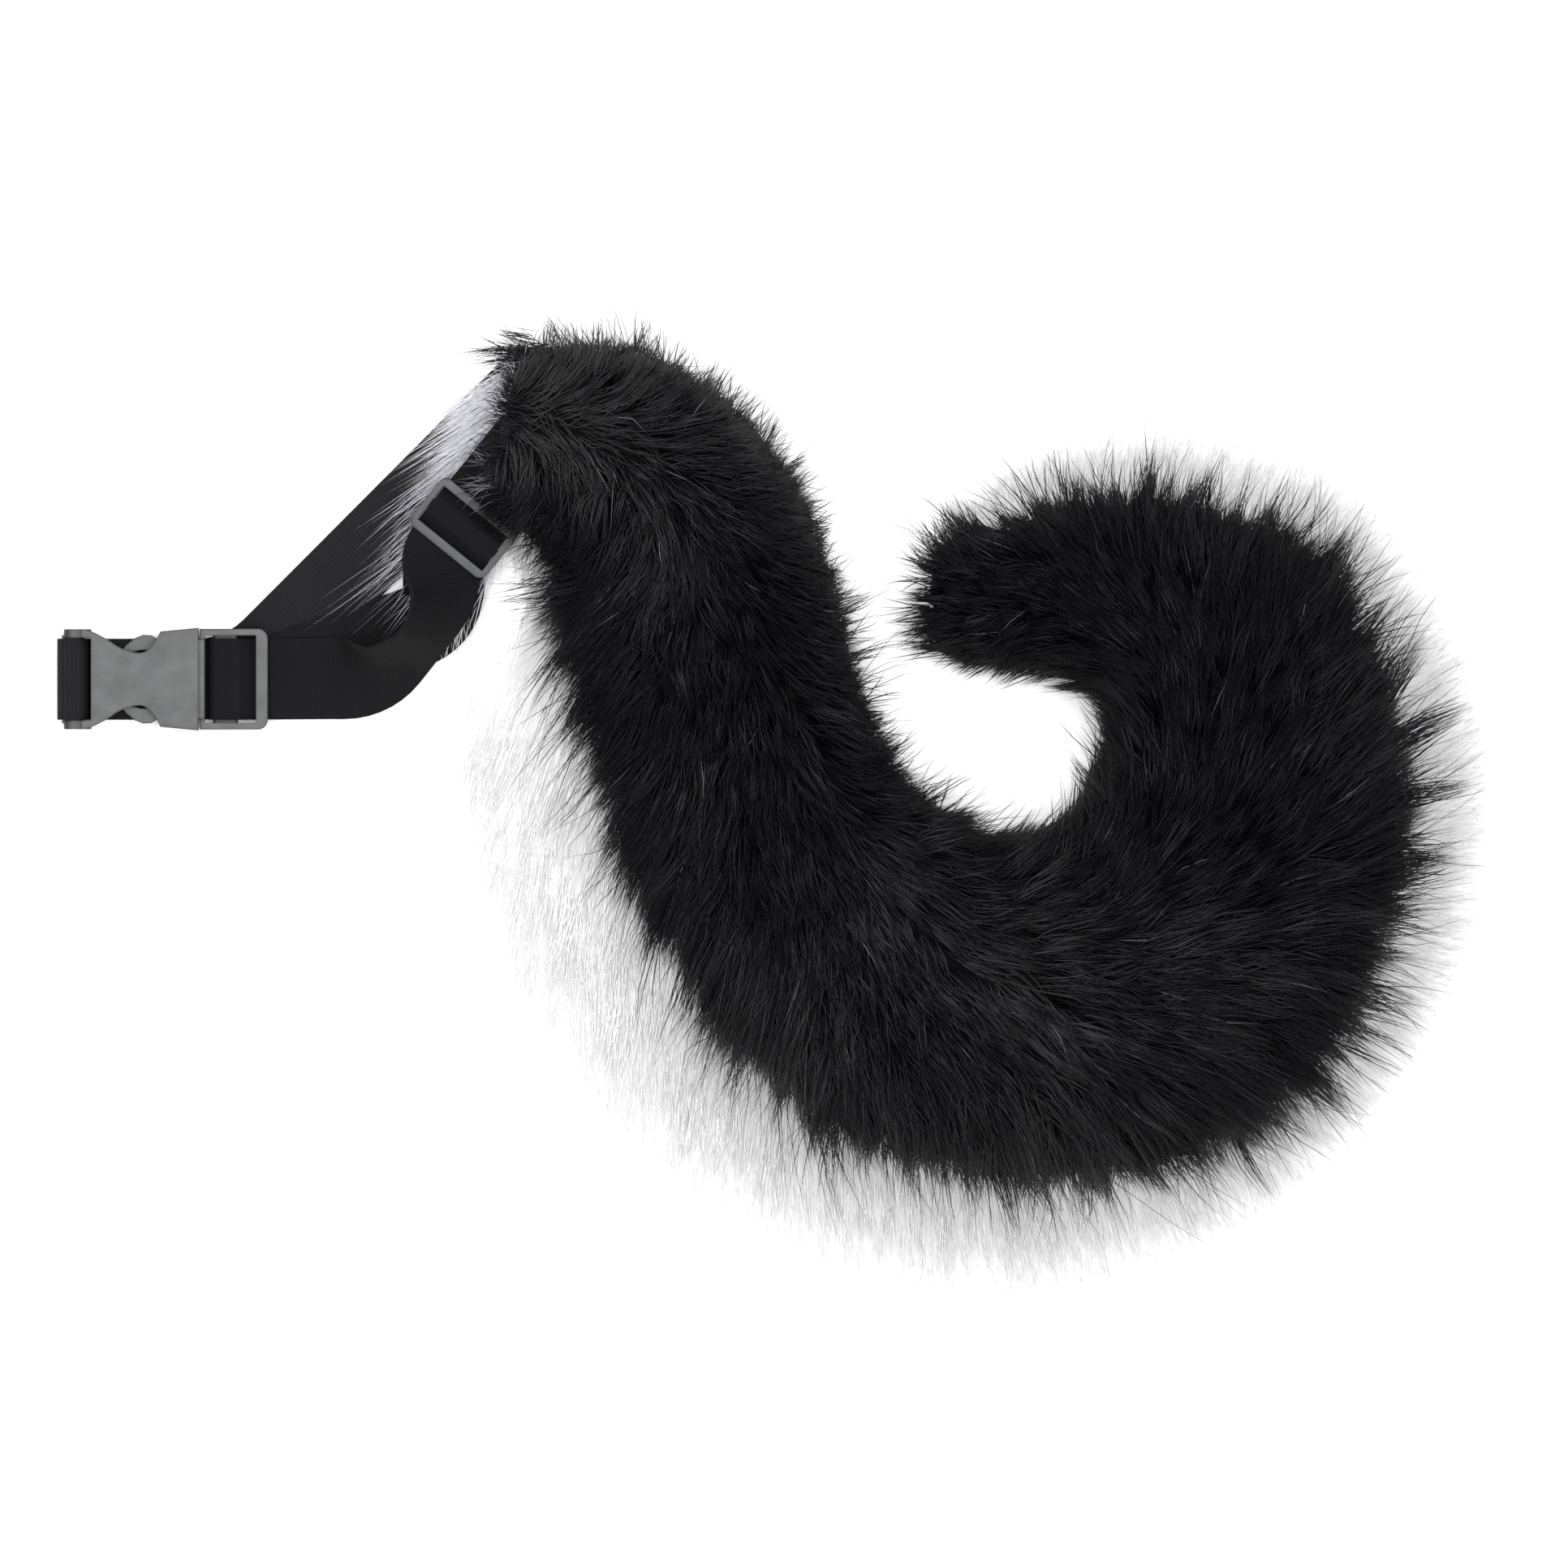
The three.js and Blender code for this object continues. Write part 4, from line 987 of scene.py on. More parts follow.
@dataclass
class FurCoat:
    """The long black fur, in hairs that gather into pointed locks."""

    form: TailForm
    flow: Flow = field(default_factory=Flow)
    pile: float = 21 * MM
    rise: float = 9 * MM
    outer_strands: int = 2000
    inner_strands: int = 700
    crest_strands: int = 170
    collar_strands: int = 1100
    fan_strands: int = 620

    def _places(self, growth: Growth, rng: Random, count: int) -> tuple[Array, Array]:
        """Picks where hairs grow, evenly over the skin.

        Args:
            growth: The lot of fur.
            rng: Seeded random numbers.
            count: How many places.

        Returns:
            Lengths and angles.
        """
        low, high = (share * self.form.length for share in growth.lengths)
        length = rng.uniform(low, high, count * 4)
        angle = rng.uniform(growth.angles[0], growth.angles[1], count * 4)
        out = np.zeros_like(length)
        step = 0.5 * MM
        here = self.form.pile(length, angle, out)
        speed = np.linalg.norm(self.form.pile(length + step, angle, out) - here, axis=1) / step
        wide = np.linalg.norm(self.form.pile(length, angle + 1.0, out) - here, axis=1)
        weight = speed * wide
        chance = weight / (np.percentile(weight, 98) + 1e-12)
        kept = np.flatnonzero(rng.uniform(0, 1, len(length)) < chance)[:count]
        return length[kept], angle[kept]

    def _lines(
        self, length: Array, angle: Array, reach: Array, extra: Array, swing: Array, steps: int
    ) -> Array:
        """Lays hairs from the skin to their tips.

        Args:
            length: Where each grows along the tail.
            angle: Where each grows round the section.
            reach: Its run over the tail, as a share of the dense fur's.
            extra: How far past the dense fur it goes, as a share of the sparse ends' reach.
            swing: Turn of its way, in radians.
            steps: Points of each hair.

        Returns:
            One row of points for each hair.
        """
        form = self.form
        dense_o, sparse_o, dense_i, sparse_i, lean_o, lean_i, parting, _ = self.flow.at(length / form.length)
        c = np.cos(np.radians(angle))
        s = np.sin(np.radians(angle))
        outer = c > parting
        edge = np.clip(np.where(outer, (c - parting) / (1 - parting), (parting - c) / (1 + parting)), 0, 1)
        spread = np.interp(length / form.length, (0.05, 0.16), (0.45, 0.75))
        turn = np.where(outer, -np.radians(90 - lean_o), np.radians(90 - lean_i)) * edge**spread + swing
        size = form.sizes(length)
        body = np.where(c > 0, size["right"] * form.outer_body, size["left"] * form.inner_body) * np.abs(c)
        dense = np.where(outer, dense_o, dense_i) * MM
        sparse = np.where(outer, sparse_o, sparse_i) * MM
        small = 0.4 + 0.6 * size["top"] / form.height
        over = np.abs(np.sin(turn))
        to_edge = np.clip((dense - body) / np.maximum(over, 0.4), 4 * MM, 26 * MM)
        near = np.clip((edge - 0.4) / 0.5, 0, 1)
        near = near * near * (3 - 2 * near)
        run = self.pile * small * (1 - near) + to_edge * near
        run *= np.interp(length / form.length, (0.9, 0.96), (1.0, 0.85))
        run = run * reach + extra * (sparse - dense) * (0.35 + 0.65 * near) / np.maximum(over, 0.6)
        _, _, heading = form.path(length)
        way = np.stack((np.cos(heading + turn), np.sin(heading + turn), np.zeros_like(turn)), 1)
        bend = 0.22 * run * np.sin(swing * 2.0 + length * 90)
        bow = np.stack((-way[:, 1], way[:, 0], way[:, 2]), 1) * bend[:, None]
        base = form.pile(length, angle, np.full_like(length, -0.1))
        lift = self.rise * small * (0.3 + 0.7 * s) * (0.75 + 0.5 * reach)
        fall = run * (0.06 + 0.5 * near) + 2 * MM * near
        rows = []
        for t in np.linspace(0, 1, steps):
            point = base + way * (run * t**1.12)[:, None] + bow * (t * t - t)
            point[:, 2] += lift * (1 - (1 - t) ** 2.2) - fall * t**1.8
            rows.append(point)
        return np.stack(rows, 1)

    def hairs(self, growth: Growth) -> Hairs:
        """Grows one lot of fur.

        Args:
            growth: The lot.

        Returns:
            Its hairs.
        """
        steps, thin, thick, long_share = growth.coat.value
        rng = np.random.default_rng(growth.seed)
        length, angle = self._places(growth, rng, growth.strands)
        count = len(length)
        clump_length, clump_angle = self._places(growth, rng, max(8, count // growth.lock))
        clumps = len(clump_length)
        clump_reach = np.exp(rng.normal(0.0, growth.spike, clumps))
        spiky = rng.uniform(0, 1, clumps) < 1.5 * growth.spike
        clump_extra = np.where(spiky, rng.exponential(1.5 * growth.spike, clumps), 0.0) * long_share
        clump_extra = np.minimum(clump_extra, 1.0)
        clump_swing = rng.normal(0, 0.2, clumps)
        clump_lines = self._lines(clump_length, clump_angle, clump_reach, clump_extra, clump_swing, steps)
        tree = KDTree(clumps)
        for i, place in enumerate(self.form.pile(clump_length, clump_angle, np.zeros(clumps))):
            tree.insert(place, i)
        tree.balance()
        nearest = np.array([tree.find(place)[1] for place in self.form.pile(length, angle, np.zeros(count))])
        fate = rng.uniform(0, 1, count)
        extra = clump_extra[nearest] * rng.uniform(0.3, 1.1, count)
        single = fate > 0.72
        wild = fate > 0.965
        extra = np.where(single, extra + rng.exponential(0.5, count), extra)
        extra = np.where(wild, rng.uniform(0.8, 2.3, count), extra) * long_share
        at_start = np.clip((0.16 - length / self.form.length) / 0.06, 0, 1)
        extra = np.minimum(extra, 2.2 - 0.9 * at_start)
        reach = clump_reach[nearest] * rng.uniform(0.6, 1.06, count)
        swing = clump_swing[nearest] + rng.normal(0, 0.13, count) * np.where(wild, 1.6, 1.0)
        swing *= np.interp(length / self.form.length, (0.05, 0.14), (1.9, 1.0))
        lines = self._lines(length, angle, reach, extra, swing, steps)
        t = np.linspace(0, 1, steps)
        pull = rng.uniform(0.45, 0.9, count) * np.where(single, 0.45, 1.0) * np.where(wild, 0.3, 1.0)
        lines += (clump_lines[nearest] - lines) * (pull[:, None] * (t**1.6)[None, :])[:, :, None]
        lines = frayed(lines, rng, 0.3 * MM, 0.35 * MM)
        width = rng.uniform(thin, thick, count) * np.where(wild, 0.62, 1.0)
        # the flow's tone paints light and shade; on the root's outer side its painted sheen is taken off and
        # the hair is made darker still
        tone = self.flow.at(length / self.form.length)[-1]
        at_root = np.clip((0.14 - length / self.form.length) / 0.06, 0, 1)
        dim = at_root * np.clip((80 - angle) / 40, 0, 1)
        tone = tone * (1 - dim) - 0.24 * dim
        # broad lighter and darker streaks that stand in for the fur's highlight streaks: a painted highlight
        patch = np.sin(length * 61 + angle * 0.05) * np.sin(length * 37 - angle * 0.031 + 1.7) * 0.14
        shade = 0.34 + tone + patch + rng.normal(0, 0.15, count) + rng.normal(0, 0.12, clumps)[nearest]
        shade = np.clip(shade, 0.0, LIGHT_END)
        light = rng.uniform(0, 1, count) < growth.strays * long_share
        shade = np.where(light, rng.uniform(STRAY_START, 1.0, count), shade)
        width = np.where(light, width * 0.6, width)
        return Hairs(lines, width, shade)

    def crest(self, seed: int, count: int) -> Hairs:
        """The few dark hairs that curve back over the root's upper side.

        Args:
            seed: Seed of the random numbers.
            count: How many hairs.

        Returns:
            The hairs.
        """
        rng = np.random.default_rng(seed)
        locks = 9
        lock = rng.integers(0, locks, count)
        lots = np.random.default_rng(seed + 1)
        across = lots.uniform(17, 27, locks)[lock] * MM + rng.normal(0, 1.2 * MM, count)
        along = lots.uniform(-2, 9, locks)[lock] * MM + rng.normal(0, 2 * MM, count)
        run = lots.uniform(12, 24, locks)[lock] * MM * rng.uniform(0.6, 1.1, count)
        way = np.radians(lots.uniform(168, 196, locks)[lock] + rng.normal(0, 4, count))
        curl = lots.uniform(-6, 7, locks)[lock] * MM
        root = self.form.beside(along, across, np.full(count, 22 * MM))
        lines = swept(root, way, run, np.zeros(count), 4, 7 * MM, 9 * MM)
        lines[:, :, 1] += curl[:, None] * np.linspace(0, 1, 4) ** 2
        lines = frayed(lines, rng, 0.3 * MM)
        width = rng.uniform(0.2, 0.36, count) * MM
        return Hairs(lines, width, np.clip(rng.normal(0.45, 0.2, count), 0, LIGHT_END))

    def collar(self, seed: int, count: int) -> Hairs:
        """The dark hairs of the root's open end, which fall to the left over the straps.

        Args:
            seed: Seed of the random numbers.
            count: How many hairs.

        Returns:
            The hairs.
        """
        rng = np.random.default_rng(seed)
        form = self.form
        angle = rng.uniform(2, 178, count)
        length = rng.uniform(-0.01, 0.028, count) * form.length
        low = np.clip(1 - angle / 90, -1, 1)
        way = np.radians(168 + np.where(low > 0, 44, 52) * low + rng.normal(0, 12, count))
        run = np.where(low > 0, 8 + 5 * low, 8 + 2 * low) * MM * rng.uniform(0.6, 1.15, count)
        curl = rng.normal(0, 1.6 * MM, count)
        base = form.pile(length, angle, np.zeros(count))
        lines = frayed(swept(base, way, run, curl, 4, 4.5 * MM, 7.5 * MM), rng, 0.35 * MM)
        # inner-side collar hairs are lighter: the same painted sheen as on the root's top
        shade = rng.normal(0.38, 0.18, count) + 0.25 * np.maximum(-low, 0)
        return Hairs(lines, rng.uniform(0.2, 0.42, count) * MM, np.clip(shade, 0, LIGHT_END))

    def fan(self, seed: int, count: int) -> Hairs:
        """The hairs that fan out past the tail's tip, in pointed locks.

        Args:
            seed: Seed of the random numbers.
            count: How many hairs.

        Returns:
            The hairs.
        """
        rng = np.random.default_rng(seed)
        lots = np.random.default_rng(seed + 1)
        form = self.form
        locks = 26
        lock = rng.integers(0, locks, count)
        length = (lots.uniform(0.945, 0.982, locks)[lock] + rng.normal(0, 0.004, count)) * form.length
        angle = np.clip(np.linspace(4, 176, locks)[lock] + rng.normal(0, 6, count), 1, 179)
        across = -np.cos(np.radians(angle))
        spread = np.where(across > 0, 20, 62) * across
        spread += lots.normal(0, 8, locks)[lock] + rng.normal(0, 7, count)
        run = lots.uniform(10, 19, locks)[lock] * MM * rng.uniform(0.55, 1.15, count)
        _, _, heading = form.path(length)
        way = heading + np.radians(spread)
        curl = rng.normal(0, 1.4 * MM, count)
        base = form.pile(length, angle, np.full(count, -0.1))
        lines = frayed(swept(base, way, run, curl, 4, 2.5 * MM, 8 * MM), rng, 0.3 * MM, 0.35 * MM)
        width = rng.uniform(0.24, 0.44, count) * MM
        return Hairs(lines, width, np.clip(rng.normal(0.25, 0.15, count), 0, LIGHT_END))

    def build(self) -> None:
        """Makes the black fur, region by region."""
        finish = FurFinish(
            "Fur black",
            dark=(0.003, 0.003, 0.0042),
            main=(0.0061, 0.006, 0.0078),
            light=(0.038, 0.0372, 0.0395),
            stray=(0.2, 0.197, 0.205),
            roughness=0.5,
            shine=0.09,
        ).build()
        # lengths, underfur, long hairs, seed, share of pale ones, spikes of the outer rim
        regions = {
            "fur_root": ((-0.01, 0.13), 3000, 6000, 11, 0.01, 0.22),
            "fur_stem": ((0.11, 0.36), 4500, 6900, 21, 0.006, 0.22),
            "fur_bend": ((0.34, 0.58), 5000, 6700, 31, 0.006, 0.27),
            "fur_rise": ((0.56, 0.8), 4500, 6800, 41, 0.006, 0.33),
            "fur_hook": ((0.78, 0.981), 4000, 6200, 51, 0.005, 0.33),
        }
        for name, (lengths, under, guard, seed, strays, spike) in regions.items():
            short = Growth(Coat.UNDER, under, lengths, (0, 180), seed, 12)
            over = guard - self.outer_strands - self.inner_strands
            top = Growth(Coat.GUARD, over, lengths, (0, 180), seed + 1, 13, strays)
            outer_rim = Growth(Coat.GUARD, self.outer_strands, lengths, (-2, 34), seed + 2, 26, 0.0, spike)
            inner_rim = Growth(Coat.GUARD, self.inner_strands, lengths, (150, 182), seed + 3, 13, 0.0, 0.22)
            long = self.hairs(top).join(self.hairs(outer_rim)).join(self.hairs(inner_rim))
            if name == "fur_root":
                long = long.join(self.crest(seed + 5, self.crest_strands))
                long = long.join(self.collar(seed + 6, self.collar_strands))
            if name == "fur_hook":
                long = long.join(self.fan(seed + 7, self.fan_strands))
            finish_piece(join_hairs(name, (self.hairs(short), long)), name, finish, Slot.FUR_BLACK)


def join_hairs(name: str, lots: Sequence[Hairs]) -> Piece:
    """Makes one mesh of several lots of hair with different counts of points.

    Args:
        name: The mesh's name.
        lots: The lots.

    Returns:
        The joined piece.
    """
    pieces = [lot.mesh(name) for lot in lots]
    activate(pieces[0])
    for piece in pieces[1:]:
        piece.select_set(True)
    bpy.ops.object.join()
    return bpy.context.object


@dataclass
class Underside:
    """The white fur that spreads on the floor on the outer side, and the tuft at the root."""

    form: TailForm
    strands: int = 7000
    rim_strands: int = 900
    tuft_strands: int = 1500

    def halo(self, seed: int) -> Hairs:
        """The white hair past the black on the outer side.

        Args:
            seed: Seed of the random numbers.

        Returns:
            The hairs.
        """
        rng = np.random.default_rng(seed)
        form = self.form
        length = rng.uniform(0.03, 0.985, self.strands * 3) * form.length
        size = form.sizes(length)
        _, _, before = form.path(length - MM)
        _, _, after = form.path(length + MM)
        bend = (after - before) / (2 * MM)
        chance = (1 + bend * size["right"]) * (0.3 + 1.3 * size["skirt"] / form.skirt)
        kept = np.flatnonzero(rng.uniform(0, 1, len(length)) * 3.0 < chance)[: self.strands]
        length = length[kept]
        count = len(length)
        size = form.sizes(length)
        lean = form.lean(length)
        wide = form.apron_width(length)
        out = rng.uniform(0.0, 1.0, count) ** 0.75
        drift = rng.normal(0, 0.1, count) + 0.1 * np.sin(length * 190 + out * 5)
        limit = (1.14 + 0.1 * np.sin(length * 330) * np.sin(length * 170)) * rng.uniform(0.93, 1.04, count)
        reach = np.minimum(wide * np.maximum(limit - out, 0.1), rng.uniform(10, 20, count) * MM)
        run = reach / np.maximum(np.cos(lean), 0.5)
        _, _, heading = form.path(length)
        way = heading - math.pi / 2 + lean + drift
        start, _ = form.apron(length, out)
        lift = rng.uniform(0.8, 3.2, count) * MM
        lines = swept(form.beside(length, -start, 0 * length), way, run, np.zeros(count), 4)
        for i, t in enumerate(np.linspace(0, 1, 4)):
            _, slope = form.apron(length, out + reach / wide * t)
            lines[:, i, 2] = slope + lift * t + 0.1 * MM
        lines = frayed(lines, rng, 0.35 * MM * np.array((1, 1, 0.4)), 0.3 * MM)
        end = out + reach / wide
        width = rng.uniform(0.2, 0.42, count) * MM * np.where(end > 0.9, 0.6, 1.0)
        shade = 0.4 + 0.45 * np.clip((end - 0.55) / 0.5, 0, 1) + 0.2 * (length < 0.34 * form.length)
        return Hairs(lines, width, np.clip(shade + rng.normal(0, 0.1, count), 0, LIGHT_END))

    def inner_rim(self, seed: int) -> Hairs:
        """The short white hair low along the curl's inner side.

        Args:
            seed: Seed of the random numbers.

        Returns:
            The hairs.
        """
        rng = np.random.default_rng(seed)
        form = self.form
        count = self.rim_strands
        length = rng.uniform(0.1, 0.95, count) * form.length
        size = form.sizes(length)
        rise = rng.uniform(0.1, 0.95, count)
        start = size["left"] * form.inner_body * 0.96
        far = size["left"] * rng.uniform(0.9, 1.0, count)
        rows = []
        for t in np.linspace(0, 1, 4):
            height = size["seam"] * form.seam_inner * rise * (1 - 0.6 * t) + 0.6 * MM
            rows.append(form.beside(length + 8 * MM * t, start + (far - start) * t, height))
        lines = frayed(np.stack(rows, 1), rng, 0.3 * MM, 0.3 * MM)
        width = rng.uniform(0.24, 0.42, count) * MM
        return Hairs(lines, width, np.clip(rng.normal(0.3, 0.2, count), 0, LIGHT_END))

    def tuft(self, seed: int) -> Hairs:
        """The long curly tuft that hangs out of the root between the straps.

        Args:
            seed: Seed of the random numbers.

        Returns:
            The hairs.
        """
        rng = np.random.default_rng(seed)
        form = self.form
        count = self.tuft_strands
        locks = 46
        lock = rng.integers(0, locks, count)
        lots = np.random.default_rng(seed + 1)
        order = lots.uniform(0, 1, locks)
        turn = np.radians((36 + 44 * order)[lock] + rng.normal(0, 3.5, count))
        longest = lots.uniform(26, 82, locks) * (0.5 + 0.5 * order)
        run = longest[lock] * MM * rng.uniform(0.6, 1.05, count)
        curl = (lots.normal(0, 1.0, locks)[lock] * 11 + rng.normal(0, 3.5, count)) * MM
        along = -rng.uniform(-6, 5, count) * MM
        across = ((14 - 26 * order)[lock] + rng.normal(0, 2.5, count)) * MM
        lift = rng.uniform(3.4, 6.0, count) * MM
        wave = lots.uniform(0, 6.28, locks)[lock]
        rows = []
        for t in np.linspace(0, 1, 5):
            bend = curl * t * t + 3.4 * MM * np.sin(wave + 9 * t) * t
            ahead = along - run * np.cos(turn) * t + bend * np.sin(turn)
            aside = across - run * np.sin(turn) * t + bend * np.cos(turn)
            rows.append(form.beside(ahead, aside, lift * (1 - 0.4 * t) + 1.4 * MM * math.sin(math.pi * t)))
        lines = frayed(np.stack(rows, 1), rng, 0.6 * MM, 3.2 * MM)
        shade = np.clip(rng.normal(0.66, 0.16, count) - 0.2 * (run > 38 * MM), 0.26, LIGHT_END)
        return Hairs(lines, rng.uniform(0.18, 0.4, count) * MM, shade)

    def wisps(self, seed: int) -> Hairs:
        """Loose pale hairs at the root's left end and over the near strap.

        Args:
            seed: Seed of the random numbers.

        Returns:
            The hairs.
        """
        rng = np.random.default_rng(seed)
        edge, over = 190, 55
        count = edge + over
        rim = np.arange(count) < edge
        along = np.where(rim, rng.uniform(-4.5, -1.5, count), rng.uniform(-3, 6, count)) * MM
        across = np.where(rim, rng.uniform(-2, 17, count), rng.uniform(-23, -12, count)) * MM
        height = np.where(rim, rng.uniform(17, 24, count), rng.uniform(24, 28, count)) * MM
        way = np.radians(np.where(rim, rng.normal(92, 26, count), rng.normal(176, 16, count)))
        run = np.where(rim, rng.uniform(5, 11, count), rng.uniform(8, 20, count)) * MM
        curl = rng.normal(0, 4.5, count) * MM
        lines = swept(self.form.beside(along, across, height), way, run, curl, 5, 3 * MM, 5 * MM)
        shade = np.where(rim, rng.uniform(0.4, LIGHT_END, count), rng.uniform(0.0, 0.16, count))
        return Hairs(lines, rng.uniform(0.16, 0.3, count) * MM, shade)

    def build(self) -> None:
        """Makes the white fur."""
        finish = FurFinish(
            "Fur white",
            dark=(0.68, 0.68, 0.682),
            main=(0.77, 0.77, 0.772),
            light=(0.93, 0.93, 0.93),
            stray=(0.93, 0.93, 0.93),
            roughness=0.7,
            shine=0.08,
            root=0.95,
        ).build()
        outer = self.halo(71).join(self.inner_rim(81))
        finish_piece(outer.mesh("fur_underside"), "fur_underside", finish, Slot.FUR_WHITE)
        lavender = FurFinish(
            "Fur tuft",
            dark=(0.13, 0.12, 0.155),
            main=(0.74, 0.735, 0.8),
            light=(0.93, 0.93, 0.95),
            stray=(0.95, 0.95, 0.97),
            roughness=0.55,
            shine=0.2,
            root=0.6,
        ).build()
        loose = self.tuft(91).join(self.wisps(95))
        finish_piece(loose.mesh("fur_root_tuft"), "fur_root_tuft", lavender, Slot.FUR_WHITE)


# Belt


@dataclass
class Stop:
    """One station of a strap's middle line."""

    at: Vector
    along: Vector
    across: Vector
    face: Vector


@dataclass
class Route:
    """A strap's way through its corners, each rounded to its radius."""

    corners: Sequence[tuple[Vector, float]]
    across: Vector
    step: float = math.radians(7)
    straight: float = 3 * MM
    steep: float = 0.8

    def stops(self) -> list[Stop]:
        """Follows the route.

        Returns:
            The stations, close together on bends and straights alike.
        """
        made: list[Stop] = []
        across = self.across.normalized()
        along = (self.corners[1][0] - self.corners[0][0]).normalized()

        def add(at: Vector) -> None:
            """Adds a station, with spare ones on a long straight before it."""
            if made:
                last = made[-1]
                gap = (at - last.at).length
                spare = int(gap / self.straight)
                for i in range(1, spare + 1):
                    part = i / (spare + 1)
                    side = last.across.lerp(across, part).normalized()
                    way = last.along.lerp(along, part).normalized()
                    made.append(Stop(last.at.lerp(at, part), way, side, way.cross(side).normalized()))
            made.append(Stop(at.copy(), along.copy(), across.copy(), along.cross(across).normalized()))

        add(self.corners[0][0])
        for i in range(1, len(self.corners) - 1):
            at, radius = self.corners[i]
            following = (self.corners[i + 1][0] - at).normalized()
            angle = along.angle(following)
            steps = max(1, round(angle / self.step))
            axis = along.cross(following).normalized()
            to_centre = axis.cross(along)
            start = at - along * (radius * math.tan(angle / 2))
            centre = start + to_centre * radius
            turn = Quaternion(axis, angle / steps)
            for k in range(steps + 1):
                if k > 0:
                    along = turn @ along
                    across = turn @ across
                    to_centre = turn @ to_centre
                if abs(along.z) <= self.steep:
                    level = UP.cross(along).normalized()
                    across = level if level.dot(across) > 0 else -level
                add(centre - to_centre * radius)
            along = following
        add(self.corners[-1][0])
        return made


@dataclass
class Belt:
    """The two webbing straps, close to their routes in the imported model."""

    form: TailForm
    width: float = 25 * MM
    thickness: float = 1.2 * MM
    gap: float = 0.3 * MM
    strap_angle: float = 51.0
    strap_run: float = 40 * MM
    lower_angle: float = 64.0
    lower_run: float = 52 * MM
    strap_rise: float = 11 * MM
    bend_radius: float = 22 * MM
    buckle_run: float = 59 * MM
    # from the bend to a corner of the webbing, and the corner's radius
    running: Triple = (-6 * MM, 0.3 * MM, 17 * MM)
    swerve: Triple = (15 * MM, 27.5 * MM, 15 * MM)
    returning: Triple = (18 * MM, 19.8 * MM, 13 * MM)
    leave_radius: float = 12.6 * MM
    tilt: float = 57.0
    tilt_ahead: float = 20 * MM
    tilt_reach: float = 31 * MM
    sewn_tail: float = 18 * MM
    socket_length: float = 41.6 * MM
    ladder_length: float = 21 * MM
    ladder_bar: float = 3.6 * MM
    slider_length: float = 18.5 * MM
    slider_bar: float = 2.7 * MM
    columns: int = 24

    layer: float = field(init=False)
    first: float = field(init=False)
    second: float = field(init=False)
    third: float = field(init=False)
    clear: float = field(init=False)

    def __post_init__(self) -> None:
        """Works out the levels and the two frames."""
        self.layer = self.thickness + self.gap
        self.first = self.thickness / 2
        self.second = self.first + self.layer
        self.third = self.second + self.layer
        self.clear = self.thickness / 2 + self.gap
        place = self.form.beside(np.array([8 * MM]), np.array([0.8 * MM]), np.array([0.0]))[0]
        level = self.third + self.strap_rise * self.lower_run / (self.lower_run + self.strap_run)
        self.anchor = Vector((place[0], place[1], self.third + self.strap_rise))
        self.slider_at = self.anchor - self._way(self.strap_angle) * self.strap_run
        self.slider_at.z = level
        self.bend = self.slider_at - self._way(self.lower_angle) * self.lower_run
        self.bend.z = self.third
        self.mouth = Vector((self.bend.x - self.buckle_run, self.bend.y, 0.0))
        self.slope = (self.anchor - self.slider_at).normalized()
        self.slider_across = UP.cross(self.slope).normalized()
        self.slider_out = self.slope.cross(self.slider_across).normalized()

    @staticmethod
    def _way(degrees: float) -> Vector:
        """Returns the level way at an angle."""
        return Vector((math.cos(math.radians(degrees)), math.sin(math.radians(degrees)), 0.0))

    def at_buckle(self, x: float, z: float) -> Vector:
        """A point in the buckle's frame."""
        return Vector((self.mouth.x + x, self.mouth.y, z))

    def at_slider(self, along: float, out: float) -> Vector:
        """A point in the slider's frame."""
        return self.slider_at + self.slope * along + self.slider_out * out

    def adjustable(self) -> Route:
        """The strap from the root through the slider and the ladder, and back to the slider."""
        tight = 1.2 * MM
        base = 2 * self.layer
        bar_radius = 1.0 * MM
        bar_x = self.gap + 1.6 * MM + 1 * MM + bar_radius + self.layer
        bar_z = base + bar_radius
        ladder_end = self.gap + self.ladder_length
        wrap_x = bar_x - bar_radius - self.clear
        over = bar_z + bar_radius + self.clear
        wrap = (over - self.second) / 2
        top = bar_x + 5.7 * MM + bar_radius
        foot = ladder_end - self.ladder_bar - tight
        middle = 0.7 * MM
        slider_wrap = middle + self.clear
        hump = 2 * slider_wrap
        slot = self.slider_length / 2 - self.slider_bar
        running = self.bend + Vector((self.running[0], self.running[1], 0))
        returning = self.bend + Vector((self.returning[0], self.returning[1], self.second - self.third))
        leave = -self.slider_length / 2 - 3 * MM
        swerve = self.bend + Vector((self.swerve[0], self.swerve[1], 0))
        swerve.z = self.third + 0.8 * (self.at_slider(leave, 0).z - self.third)
        end = 0.5 * MM + slider_wrap
        corners = (
            (self.anchor, 0.0),
            (self.at_slider(slot - 0.1 * MM, 0), tight),
            (self.at_slider(slot - 3.8 * MM, hump), tight),
            (self.at_slider(-slot + 3.8 * MM, hump), tight),
            (self.at_slider(-slot + 0.1 * MM, 0), tight),
            (self.at_slider(leave, 0), self.leave_radius),
            (swerve, self.swerve[2]),
            (running, self.running[2]),
            (self.at_buckle(foot, self.third), tight),
            (self.at_buckle(top, over), tight),
            (self.at_buckle(wrap_x, over), wrap),
            (self.at_buckle(wrap_x, self.second), wrap),
            (self.at_buckle(ladder_end, self.second), self.bend_radius),
            (returning, self.returning[2]),
            (self.at_slider(leave, -self.layer), self.bend_radius),
            (self.at_slider(end, -self.layer), slider_wrap),
            (self.at_slider(end, 2 * slider_wrap - self.layer), slider_wrap),
            (self.at_slider(-1 * MM, 2 * slider_wrap - self.layer), 0.0),
        )
        return Route(corners, self.slider_across)

